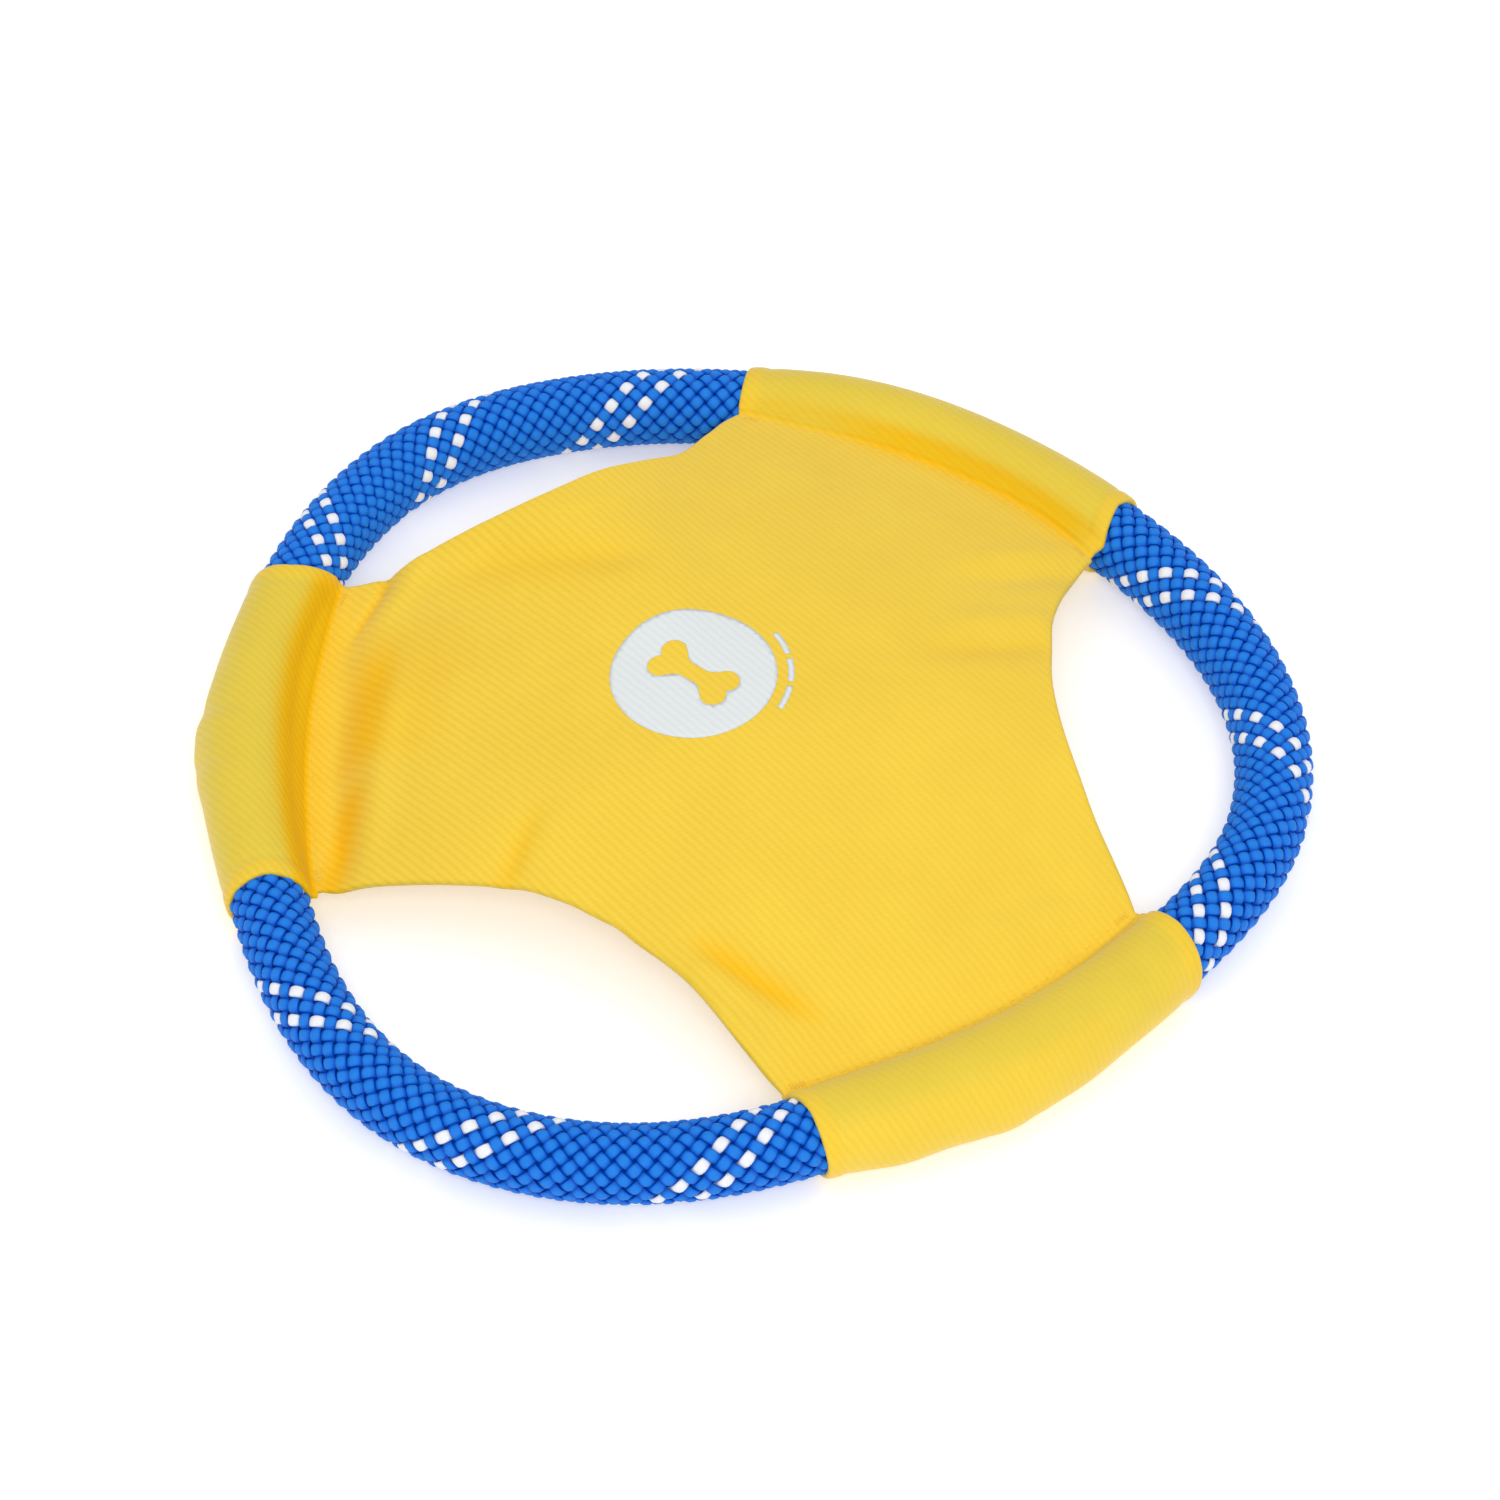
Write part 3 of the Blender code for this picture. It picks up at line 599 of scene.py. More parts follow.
# Rows of the strip: (angle round the fold, share of the width turned under).
HEM_ROWS = [(angle, 0.0) for angle in (30, 60, 90, 120, 150, 180)] + [
    (180, part) for part in (0.12, 0.3, 0.55, 0.8, 1.0)]
HEM_FLOOR = 0.62


def ease(values, times):
    """Evens out a run of values, keeping both ends."""
    out = values.copy()
    for _ in range(times):
        out[1:-1] = (out[:-2] + 2 * out[1:-1] + out[2:]) / 4
    return out


def hem_path(i):
    """Vertices from the underside of one sleeve's mouth, over it, along the free edge and
    round the next sleeve's mouth, and where the free part starts and stops."""
    numbers, wing = wings[i]
    next_numbers, next_wing = wings[(i + 1) % 3]
    first = [wing[-1][q] for q in range(AROUND, 0, -1)]
    stop = next_numbers[0] or COUNT
    free = [panel[j % COUNT, -1] for j in range(numbers[-1], stop + 1)]
    second = [next_wing[0][q] for q in range(1, AROUND + 1)]
    return first + free + second, len(first), len(first) + len(free)


def add_hem(path, start, stop):
    edge = points[path]
    tangent = unit(np.gradient(edge, axis=0))
    normal = ease(normals[path], 3)
    out = unit(ease(np.cross(tangent, normal), 6))
    normal = unit(normal - out * np.sum(normal * out, axis=1)[:, None])
    number = np.arange(len(path))
    length = arc_length(edge)
    corner_gap = np.minimum(np.abs(length - length[start]), np.abs(length - length[stop - 1]))
    is_free = ((number >= start) & (number < stop)).astype(float)
    bend = ease(BEND + FREE_BEND * is_free, 8) * (0.7 + 0.3 * smooth(corner_gap / 5.0))
    run = np.where(is_free > 0, FREE_RUN, MOUTH_RUN) * (0.25 + 0.75 * smooth(corner_gap / 9.0))
    run = ease(run, 10)
    edge_uv = np.array([pattern[v] for v in path], float)
    out_uv = out[:, :2] / np.maximum(np.linalg.norm(out[:, :2], axis=1), 0.3)[:, None]
    prev = list(path)
    for degrees, part in HEM_ROWS:
        angle = math.radians(degrees)
        place = (edge + out * (bend * math.sin(angle) - run * part)[:, None]
                 - normal * (bend * (1 - math.cos(angle)))[:, None])
        if part > 0:        # lies flat under the panel away from the corners
            level = height(place[:, 0], place[:, 1]) - 2 * bend
            follow = is_free * smooth((corner_gap - 2.0) / 5.0)
            place[:, 2] = place[:, 2] * (1 - follow) + level * follow
        place[:, 2] = np.maximum(place[:, 2], HEM_FLOOR)
        uv = edge_uv + out_uv * (bend * angle + run * part)[:, None]
        row = [put(tuple(place[k]), tuple(uv[k]), tube[v], shade[v])
               for k, v in enumerate(path)]
        for k in range(len(path) - 1):
            faces.append((prev[k], row[k], row[k + 1], prev[k + 1]))
        prev = row


for i in range(3):
    add_hem(*hem_path(i))


# ------------------------------------------------------------------ building meshes
def mesh_object(name, verts, faces, body):
    mesh = bpy.data.meshes.new(name)
    places = (np.array(verts, float) + CENTRE) * MM
    mesh.from_pydata(places.tolist(), [], [tuple(int(v) for v in face) for face in faces])
    mesh.validate()
    mesh.update()
    mesh.shade_smooth()
    obj = bpy.data.objects.new(name, mesh)
    bpy.context.scene.collection.objects.link(obj)
    obj["body"] = body
    return obj


def add_uv(obj, uv):
    """Lays out the pattern map, one unit to 100 mm."""
    layer = obj.data.uv_layers.new(name="pattern")
    corners = np.zeros(len(obj.data.loops), int)
    obj.data.loops.foreach_get("vertex_index", corners)
    flat = (np.array(uv, float)[corners] / 100.0).astype(np.float32).ravel()
    layer.data.foreach_set("uv", flat)


def add_value(obj, name, values):
    attribute = obj.data.attributes.new(name, "FLOAT", "POINT")
    attribute.data.foreach_set("value", np.array(values, np.float32))


def unify(obj):
    """Makes the faces agree, with the topmost one looking up."""
    bm = bmesh.new()
    bm.from_mesh(obj.data)
    bmesh.ops.recalc_face_normals(bm, faces=bm.faces[:])
    top = max(bm.faces, key=lambda face: face.calc_center_median().z)
    if top.normal.z < 0:
        bmesh.ops.reverse_faces(bm, faces=bm.faces[:])
    bm.to_mesh(obj.data)
    bm.free()


def thicken(obj, amount):
    mod = obj.modifiers.new("Cloth thickness", "SOLIDIFY")
    mod.thickness = amount * MM
    mod.offset = -1.0
    mod.use_rim = True
    mod.use_even_offset = False
    mod.use_quality_normals = True


def stand_in(obj, body, node):
    """Puts an object on its body in place of a CAD node."""
    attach(obj, body)
    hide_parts(node)


def ply(name, verts, faces, uv, tube, shade, thickness):
    obj = mesh_object(name, verts, faces, COVER)
    add_uv(obj, uv)
    add_value(obj, "tube", tube)
    add_value(obj, "shade", shade)
    unify(obj)
    thicken(obj, thickness)
    return obj


cover = ply("cover_outer_ply", verts, faces, pattern, tube, shade, thickness=0.52)

# ------------------------------------------------------------------ lining ply
LINING_ROWS = 40
LINING_DROP = 0.60              # top face of the cover to the lining
EDGE_INSET, SLEEVE_INSET = 1.15, 1.6


def lining_ply():
    radius = np.linalg.norm(columns, axis=1)[:, None]
    on_edge = np.array([sleeve is None for sleeve in column_sleeve])[:, None]
    inset = np.where(
        on_edge, columns - columns / radius * EDGE_INSET, columns * (1 - SLEEVE_INSET / radius))
    share = np.linspace(0, 1, LINING_ROWS + 1)[1:]
    plan = (inset[:, None, :] * share[None, :, None]).reshape(-1, 2)
    uv = np.vstack([[(0, 0)], plan])
    top = on_top(uv, 0.0)
    grid = np.arange(COUNT * LINING_ROWS).reshape(COUNT, LINING_ROWS) + 1
    lining_faces = fan_faces(0, grid)
    normal = vertex_normals(top, lining_faces)
    normal = normal * np.sign(normal[:, 2])[:, None]
    plain = np.zeros(len(top))
    return ply("cover_lining_ply", top - normal * LINING_DROP, lining_faces, uv, plain, plain,
               thickness=0.42)


lining = lining_ply()


# ------------------------------------------------------------------ tubes
def wall_faces(start, rows, sides):
    """Quads of an open tube whose rings of vertices follow one another."""
    out = []
    for row in range(rows - 1):
        base = start + row * sides
        for k in range(sides):
            m = (k + 1) % sides
            out.append((base + k, base + m, base + sides + m, base + sides + k))
    return out


def closed_tube_faces(start, rows, sides):
    last = start + (rows - 1) * sides
    return wall_faces(start, rows, sides) + [
        tuple(start + k for k in reversed(range(sides))), tuple(last + k for k in range(sides))]


def double_tube_faces(rows, sides):
    """Two tubes, outer first, joined by a ring of faces at each end."""
    out = wall_faces(0, rows, sides)
    out += [tuple(reversed(face)) for face in wall_faces(rows * sides, rows, sides)]
    for row in (0, rows - 1):
        for k in range(sides):
            m = (k + 1) % sides
            out.append((row * sides + k, row * sides + m,
                        (rows + row) * sides + m, (rows + row) * sides + k))
    return out


def add_thread(path, radius, sides, verts, faces):
    """Adds a round thread with closed ends along a path to the lists."""
    tangents = np.gradient(path, axis=0)
    tangents /= np.maximum(np.linalg.norm(tangents, axis=1), 1e-9)[:, None]
    start = len(verts)
    side = np.cross(tangents[0], (0.0, 0.0, 1.0))
    for point, tangent in zip(path, tangents):
        side = side - tangent * np.dot(side, tangent)
        side = side / np.linalg.norm(side)
        up = np.cross(tangent, side)
        for k in range(sides):
            angle = 2 * math.pi * k / sides
            verts.append(point + radius * (math.cos(angle) * side + math.sin(angle) * up))
    faces += closed_tube_faces(start, len(path), sides)


# ------------------------------------------------------------------ stitching
STITCH = 2.6                    # pitch of the stitches
STITCH_INSET = 0.75             # inside the seam line
STITCH_DIP = np.array([-0.42, -0.20, -0.08, -0.04, -0.03, -0.04, -0.08, -0.20, -0.42])
TACK_START, TACK_END, TACK_ZIGZAGS = 0.4, 3.4, 9
TACK_HALF_WIDTH = 0.55


class SeamLine:
    """The stitched line of one sleeve, by distance along it."""

    def __init__(self, sleeve):
        start, end = SLEEVES[sleeve]
        deg = np.linspace(start + 0.5, end - 0.5, 1200)
        centre, self.outward, _ = rope_at(deg)
        self.line = centre - self.outward * (seam_inset(deg) + STITCH_INSET)[:, None]
        self.length = arc_length(self.line)
        self.total = self.length[-1]

    def at(self, distance, inside=0.0):
        point = interp_rows(distance, self.length, self.line)
        outward = interp_rows(distance, self.length, self.outward)
        return point - outward * np.asarray(inside)[..., None]


def stitches(name, seam):
    verts, faces = [], []
    count = int((seam.total - 2.0) // STITCH)
    origin = (seam.total - count * STITCH) / 2
    for k in range(count):
        run = origin + k * STITCH + STITCH * np.linspace(0.05, 0.95, 9)
        add_thread(on_top(seam.at(run), STITCH_DIP), 0.13, 7, verts, faces)
        under = on_top(seam.at(run + STITCH / 2), -FLAP_DROP - STITCH_DIP)
        add_thread(under, 0.15, 7, verts, faces)
    return mesh_object(name, verts, faces, COVER)


def bar_tack(name, seam, from_end):
    """A dense zigzag over one end of the seam, on top and underneath."""
    verts, faces = [], []
    samples = TACK_ZIGZAGS * 6 + 1
    run = np.linspace(TACK_START, TACK_END, samples)
    if from_end:
        run = seam.total - run
    swing = np.abs(np.linspace(0, TACK_ZIGZAGS, samples) % 2 - 1) * 2 - 1
    line = seam.at(run, TACK_HALF_WIDTH * np.clip(swing * 1.15, -1, 1))
    sink = smooth((np.abs(swing) - 0.8) / 0.2)      # 1 where the thread enters the cloth
    add_thread(on_top(line, 0.04 - 0.30 * sink), 0.12, 6, verts, faces)
    add_thread(on_top(line, -FLAP_DROP - 0.16 + 0.40 * sink), 0.17, 6, verts, faces)
    return mesh_object(name, verts, faces, COVER)


threads = []
for i in range(3):
    seam = SeamLine(i)
    thread = stitches(f"seam_stitching_{i + 1}", seam)
    stand_in(thread, COVER, f"seam_thread_{i + 1}")
    threads.append(thread)
    for side in (0, 1):
        number = 2 * i + side + 1
        tack = bar_tack(f"bar_tack_stitches_{number}", seam, from_end=side)
        stand_in(tack, COVER, f"bar_tack_{number}")
        threads.append(tack)

# ------------------------------------------------------------------ round print
PRINT_AT, PRINT_RADIUS = np.array([-8.3, 8.1]), 15.3
PRINT_GRID = 0.9
BONE_TURN = math.radians(-38.0)
BONE_HALF, BAR_HALF = 6.0, 1.75             # half length to the lobes, half width of the bar
LOBE_RADIUS, LOBE_OFF = 2.45, 2.05          # two lobes at each end, off the bone's axis
BONE_REACH = 10.5                           # a radius that holds the whole bone
# Three short arcs right of the disc, one above another.
ARC_STARTS, ARC_SWEEP, ARC_STEPS = (33, 11, -11), 18, 15
ARC_INNER, ARC_OUTER = 17.25, 18.4


def in_bone(x, y):
    """Whether points lie in a plain bone: a bar with two round lobes at each end."""
    cos_turn, sin_turn = math.cos(BONE_TURN), math.sin(BONE_TURN)
    x, y = x * cos_turn + y * sin_turn, -x * sin_turn + y * cos_turn
    inside = (np.abs(x) <= BONE_HALF) & (np.abs(y) <= BAR_HALF)
    for end in (-1, 1):
        for side in (-1, 1):
            lobe = np.hypot(x - end * BONE_HALF, y - side * LOBE_OFF) <= LOBE_RADIUS
            inside = inside | lobe
    return inside


def in_disc(x, y):
    return math.hypot(x, y) < PRINT_RADIUS and not in_bone(x, y)


def on_circle(radius, angle):
    return (radius * math.cos(angle), radius * math.sin(angle))


def bone_outline(count=220):
    """Closed outline: the farthest inside point on each ray from the centre."""
    out = []
    ray = np.linspace(0, BONE_REACH, 400)
    for k in range(count):
        angle = 2 * math.pi * k / count
        inside = in_bone(ray * math.cos(angle), ray * math.sin(angle))
        out.append(on_circle(ray[np.where(inside)[0].max()], angle))
    return out


def flat_region(loops, step, keep):
    """Triangles of a plane region bounded by loops, with inner points step apart."""
    points, edges = [], []
    for loop in loops:
        start = len(points)
        points += [Vector(p) for p in loop]
        edges += [(start + k, start + (k + 1) % len(loop)) for k in range(len(loop))]
    low = np.min([np.min(np.array(loop), axis=0) for loop in loops], axis=0)
    high = np.max([np.max(np.array(loop), axis=0) for loop in loops], axis=0)
    border = np.array([tuple(p) for p in points])
    for x in np.arange(low[0], high[0], step):
        for y in np.arange(low[1], high[1], step):
            clear = np.min(np.hypot(border[:, 0] - x, border[:, 1] - y)) > step * 0.5
            if keep(x, y) and clear:
                points.append(Vector((x, y)))
    result = geometry.delaunay_2d_cdt(points, edges, [], 0, 1e-5)
    verts = np.array([tuple(p) for p in result[0]])
    faces = [face for face in result[2] if keep(*verts[list(face)].mean(0))]
    used = sorted({v for face in faces for v in face})
    renumber = {v: k for k, v in enumerate(used)}
    return verts[used], [tuple(renumber[v] for v in face) for face in faces]


def crown_print():
    disc = [on_circle(PRINT_RADIUS, 2 * math.pi * k / 200) for k in range(200)]
    verts, faces = flat_region([disc, bone_outline()], PRINT_GRID, in_disc)
    verts, faces = [tuple(p) for p in verts], list(faces)
    for start in ARC_STARTS:
        angles = [math.radians(start - ARC_SWEEP * k / ARC_STEPS) for k in range(ARC_STEPS + 1)]
        base = len(verts)
        last = base + 2 * ARC_STEPS + 1
        verts += [on_circle(ARC_INNER, angle) for angle in angles]
        verts += [on_circle(ARC_OUTER, angle) for angle in reversed(angles)]
        for k in range(ARC_STEPS):
            faces.append((base + k, base + k + 1, last - k - 1, last - k))
    flat = np.array(verts) + PRINT_AT
    obj = mesh_object("crown_print", on_top(flat, 0.10), faces, COVER)
    add_uv(obj, flat)
    unify(obj)
    thicken(obj, 0.09)
    return obj


badge = crown_print()
stand_in(badge, COVER, "badge_print")
stand_in(cover, COVER, "panel_upper")
stand_in(lining, COVER, "panel_lower")

# ------------------------------------------------------------------ braided rope
# Turns of the tracer pair round the rope: (distance from the butt joint, turns).
TURNS = (
    (0.0, -0.97), (42.5, 0.08), (55.5, 0.37), (82.5, 1.06), (95.5, 1.41), (123.0, 2.10),
    (136.0, 2.41), (244.5, 5.124), (257.5, 5.445), (283.5, 6.124), (296.5, 6.458),
    (318.5, 7.10), (331.5, 7.47), (436.5, 10.086), (449.5, 10.38), (477.5, 11.06),
    (490.5, 11.36), (520.5, 12.055), (533.5, 12.335), (576.67, 13.40),
)
turns_at = spline(*zip(*TURNS))
# How far the crossings sit beyond each whole twelfth of a turn, in twelfths: distances
# from the butt joint, then amounts.
crossing_at = spline(
    (0.0, 45.0, 89.0, 129.5, 251.0, 290.0, 325.0, 443.0, 484.0, 527.0, 576.67),
    (-0.2, -0.2, -0.14, -0.19, 0.23, 0.18, 0.32, 0.21, 0.40, 0.40, 0.42),
)
CARRIERS = 12                   # yarns in each of the two families
TRACERS = (0, 2)                # white yarns of the first family
YARN_PHASE = 360.0 / CARRIERS
BRAID_RADIUS, WAVE = 6.30, 0.50
YARN_WIDTH, YARN_THICK = 1.12, 0.50         # half sizes
SAMPLES_PER_TURN = 96
# Section of a yarn: (across, outward), in half widths and half thicknesses.
YARN_SECTION = (
    (1.0, 0.0), (0.82, 0.62), (0.45, 0.93), (0.0, 1.0), (-0.45, 0.93), (-0.82, 0.62),
    (-1.0, 0.0), (-0.6, -0.75), (0.0, -0.85), (0.6, -0.75),
)

# Samples along the rope, evenly spaced in turns.
table_length = np.linspace(0.45, ROPE_LENGTH - 0.45, 6000)
table_turns = turns_at(table_length)
sample_turns = np.arange(
    math.ceil(table_turns[0] * SAMPLES_PER_TURN),
    math.floor(table_turns[-1] * SAMPLES_PER_TURN) + 1) / SAMPLES_PER_TURN
sample_length = np.interp(sample_turns, table_turns, table_length)
sample_centre, sample_outward, _ = rope_at(np.interp(sample_length, line_length, line_deg))
sample_late = crossing_at(sample_length) / CARRIERS


def around(centre, outward, angle, radius):
    """Points at an angle and radius round the rope's centreline."""
    level = outward * np.cos(angle)[..., None] if outward.ndim > 1 else (
        np.cos(angle)[:, None] * outward)
    plan = centre + level * np.asarray(radius)[..., None]
    return np.concatenate([plan, (ROPE_Z + np.sin(angle) * radius)[..., None]], -1)


def add_yarn(family, number, seed, verts, faces, uv, relief):
    sign = 1 if family == 0 else -1
    phase = YARN_PHASE * (number - 1 if family == 0 else number)
    wave = np.cos(math.pi * (2 * CARRIERS) * (sample_turns - sample_late)) * sign
    wave = np.sign(wave) * np.abs(wave) ** 0.75
    radius = BRAID_RADIUS + WAVE * wave
    turned = sample_turns if family == 0 else sample_turns - 2 * sample_late
    angle = np.radians(sign * 360.0 * turned + phase)
    path = around(sample_centre, sample_outward, angle, radius)
    flat_path = around(sample_centre, sample_outward, angle, np.full(len(angle), BRAID_RADIUS))
    tangent = unit(np.gradient(flat_path, axis=0))
    out = np.concatenate(
        [sample_outward * np.cos(angle)[:, None], np.sin(angle)[:, None]], -1)
    out = unit(out - tangent * np.sum(out * tangent, axis=1)[:, None])
    side = np.cross(tangent, out)
    wide = YARN_WIDTH * (0.90 + 0.10 * wave)
    thick = YARN_THICK * (0.90 + 0.10 * wave)
    length = arc_length(path)
    start = len(verts)
    for row in range(len(path)):
        for x, y in YARN_SECTION:
            across = x * wide[row]
            drop = (across * 0.72) ** 2 / (2 * BRAID_RADIUS)    # edges hug the rope
            rise = y * thick[row] - drop
            verts.append(path[row] + side[row] * across + out[row] * rise)
            # the seed keeps yarns apart on the pattern
            uv.append((length[row] + seed * 7.3, across + seed * 3.1))
            # how proud the yarn stands; low values take the painted shade of the gaps between yarns
            proud = radius[row] + rise - BRAID_RADIUS
            relief.append(float(np.clip((proud + 0.25) / 1.25, 0, 1)))
    faces += closed_tube_faces(start, len(path), len(YARN_SECTION))


def yarn_object(name, yarns):
    """One object from yarns given as (family, number, seed)."""
    verts, faces, uv, tint, relief = [], [], [], [], []
    for family, number, seed in yarns:
        add_yarn(family, number, seed, verts, faces, uv, relief)
        tint += [seed] * (len(verts) - len(tint))
    obj = mesh_object(name, verts, faces, ROPE)
    add_uv(obj, uv)
    add_value(obj, "tint", tint)
    add_value(obj, "relief", relief)
    return obj


def double_tube(name, directions, sides, radii):
    """A thin-walled tube round the rope through the given directions."""
    verts = []
    angle = np.radians(np.arange(sides) * 360 / sides)
    centres, outwards, _ = rope_at(directions)
    for radius in radii:
        for centre, outward in zip(centres, outwards):
            verts += list(around(centre, outward, angle, radius))
    obj = mesh_object(name, verts, double_tube_faces(len(directions), sides), ROPE)
    unify(obj)
    return obj


rng = np.random.default_rng(7)
blue_yarns = [
    (family, number, float(rng.random()))
    for family in (0, 1) for number in range(CARRIERS)
    if not (family == 0 and number in TRACERS)
]
sheath = yarn_object("rope_braid_blue", blue_yarns)
stand_in(sheath, ROPE, "rope_sheath")

tracers = []
for which, number in enumerate(TRACERS, 1):
    tracer = yarn_object(f"rope_tracer_{which}", [(0, number, 0.3 * which)])
    stand_in(tracer, ROPE, f"tracer_yarn_{which}")
    tracers.append(tracer)

# Thin band over the butt joint, hidden inside the front-right sleeve.
band = double_tube(
    "join_band_film", np.linspace(JOINT_DEG - 6.0, JOINT_DEG + 6.0, 41), 40, (7.46, 7.33))
stand_in(band, ROPE, "join_wrap") if False else None
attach(band, ROPE)
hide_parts("join_wrap")

# A dark blue sheet inside the braid, a painted shade seen only as the dark between its yarns.
wall_length = np.linspace(0.6, ROPE_LENGTH - 0.6, 420)
gap_shade_sheet = double_tube(
    "rope_braid_gap_shade_sheet", np.interp(wall_length, line_length, line_deg), 28, (5.72, 5.40))
add_uv(gap_shade_sheet, np.zeros((len(gap_shade_sheet.data.vertices), 2)))
add_value(gap_shade_sheet, "tint", np.zeros(len(gap_shade_sheet.data.vertices)))
add_value(gap_shade_sheet, "relief", np.ones(len(gap_shade_sheet.data.vertices)))
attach(gap_shade_sheet, ROPE)


# ------------------------------------------------------------------ node helpers
class Nodes:
    """Short helper for the node tree of a material or world."""

    def __init__(self, owner):
        owner.use_nodes = True
        self.tree = owner.node_tree
        self.tree.nodes.clear()

    def new(self, kind, **props):
        node = self.tree.nodes.new(kind)
        for key, value in props.items():
            setattr(node, key, value)
        return node

    def link(self, source, target):
        self.tree.links.new(source, target)

    def feed(self, socket, value):
        if isinstance(value, bpy.types.NodeSocket):
            self.link(value, socket)
        else:
            socket.default_value = value

    def math(self, operation, *values):
        node = self.new("ShaderNodeMath", operation=operation)
        for socket, value in zip(node.inputs, values):
            self.feed(socket, value)
        return node.outputs[0]

    def mix(self, factor, first, second, mode="MIX"):
        node = self.new("ShaderNodeMix", data_type="RGBA", blend_type=mode)
        for socket, value in ((0, factor), (6, first), (7, second)):
            self.feed(node.inputs[socket], value)
        return node.outputs[2]

    def remap(self, value, low, high, to_low=0.0, to_high=1.0, kind="SMOOTHSTEP"):
        node = self.new("ShaderNodeMapRange", interpolation_type=kind)
        for k, entry in enumerate((value, low, high, to_low, to_high)):
            self.feed(node.inputs[k], entry)
        return node.outputs[0]


class Shader(Nodes):
    """A material around one Principled BSDF; pattern coordinates are in mm."""

    def __init__(self, name):
        self.material = bpy.data.materials.new(name)
        super().__init__(self.material)
        self.bsdf = self.new("ShaderNodeBsdfPrincipled")
        self.link(self.bsdf.outputs[0], self.new("ShaderNodeOutputMaterial").inputs[0])

    def set(self, **inputs):
        for key, value in inputs.items():
            self.feed(self.bsdf.inputs[key.replace("_", " ")], value)

    def noise(self, vector, scale, detail=2.0, rough=0.5):
        node = self.new("ShaderNodeTexNoise")
        for key, value in (
            ("Vector", vector), ("Scale", scale), ("Detail", detail), ("Roughness", rough),
        ):
            self.feed(node.inputs[key], value)
        return node.outputs["Fac"]

    def bump(self, heights, distance, strength, normal=None):
        node = self.new("ShaderNodeBump")
        node.inputs["Strength"].default_value = strength
        node.inputs["Distance"].default_value = distance
        self.feed(node.inputs["Height"], heights)
        if normal is not None:
            self.link(normal, node.inputs["Normal"])
        return node.outputs[0]

    def ripple(self, turn):
        """Cosine of an angle, brought to 0..1."""
        return self.math("MULTIPLY_ADD", self.math("COSINE", turn), 0.5, 0.5)

    def project(self, x, y, degrees):
        """Distance along a direction of the pattern."""
        angle = math.radians(degrees)
        return self.math("ADD", self.math("MULTIPLY", x, math.cos(angle)),
                         self.math("MULTIPLY", y, math.sin(angle)))

    def pattern(self):
        """Pattern coordinates, as a vector and two numbers."""
        node = self.new("ShaderNodeUVMap", uv_map="pattern")
        scale = self.new("ShaderNodeVectorMath", operation="SCALE")
        self.link(node.outputs[0], scale.inputs[0])
        scale.inputs["Scale"].default_value = 100.0
        split = self.new("ShaderNodeSeparateXYZ")
        self.link(scale.outputs[0], split.inputs[0])
        return scale.outputs[0], split.outputs[0], split.outputs[1]

    def object_place(self):
        return self.new("ShaderNodeTexCoord").outputs["Object"]

    def value(self, name):
        return self.new("ShaderNodeAttribute", attribute_name=name).outputs["Fac"]


def rgb(*display):
    """A display colour as linear light."""
    return tuple(
        ((c / 255 + 0.055) / 1.055) ** 2.4 if c > 10 else c / 255 / 12.92 for c in display
    ) + (1.0,)


def darker(colour, factor):
    return tuple(factor * c for c in colour[:3]) + (1,)


# ------------------------------------------------------------------ materials
TWILL_DEG, TWILL_PITCH = 132.0, 1.37        # direction and spacing of the ribs
FLOAT_PITCH = 0.92                          # spacing of the short floats along a rib
WOBBLE = 0.55                               # wander of the ribs: noise scale and size


def twill_ribs(net, vector, x, y):
    """Rib profile 0..1 of a twill, and the phase across its ribs."""
    across = net.project(x, y, TWILL_DEG - 90.0)
    wander = net.math("SUBTRACT", net.noise(vector, scale=WOBBLE), 0.5)
    across = net.math("ADD", across, net.math("MULTIPLY", wander, WOBBLE))
    turn = net.math("MULTIPLY", across, 2 * math.pi / TWILL_PITCH)
    return net.math("POWER", net.ripple(turn), 0.75), turn


def twill_floats(net, x, y, turn):
    """Short floats, 0..1, that step along each rib."""
    down = net.project(x, y, TWILL_DEG)
    step = net.math("ADD", net.math("MULTIPLY", down, 2 * math.pi / FLOAT_PITCH),
                    net.math("MULTIPLY", turn, 0.5))
    return net.ripple(step)


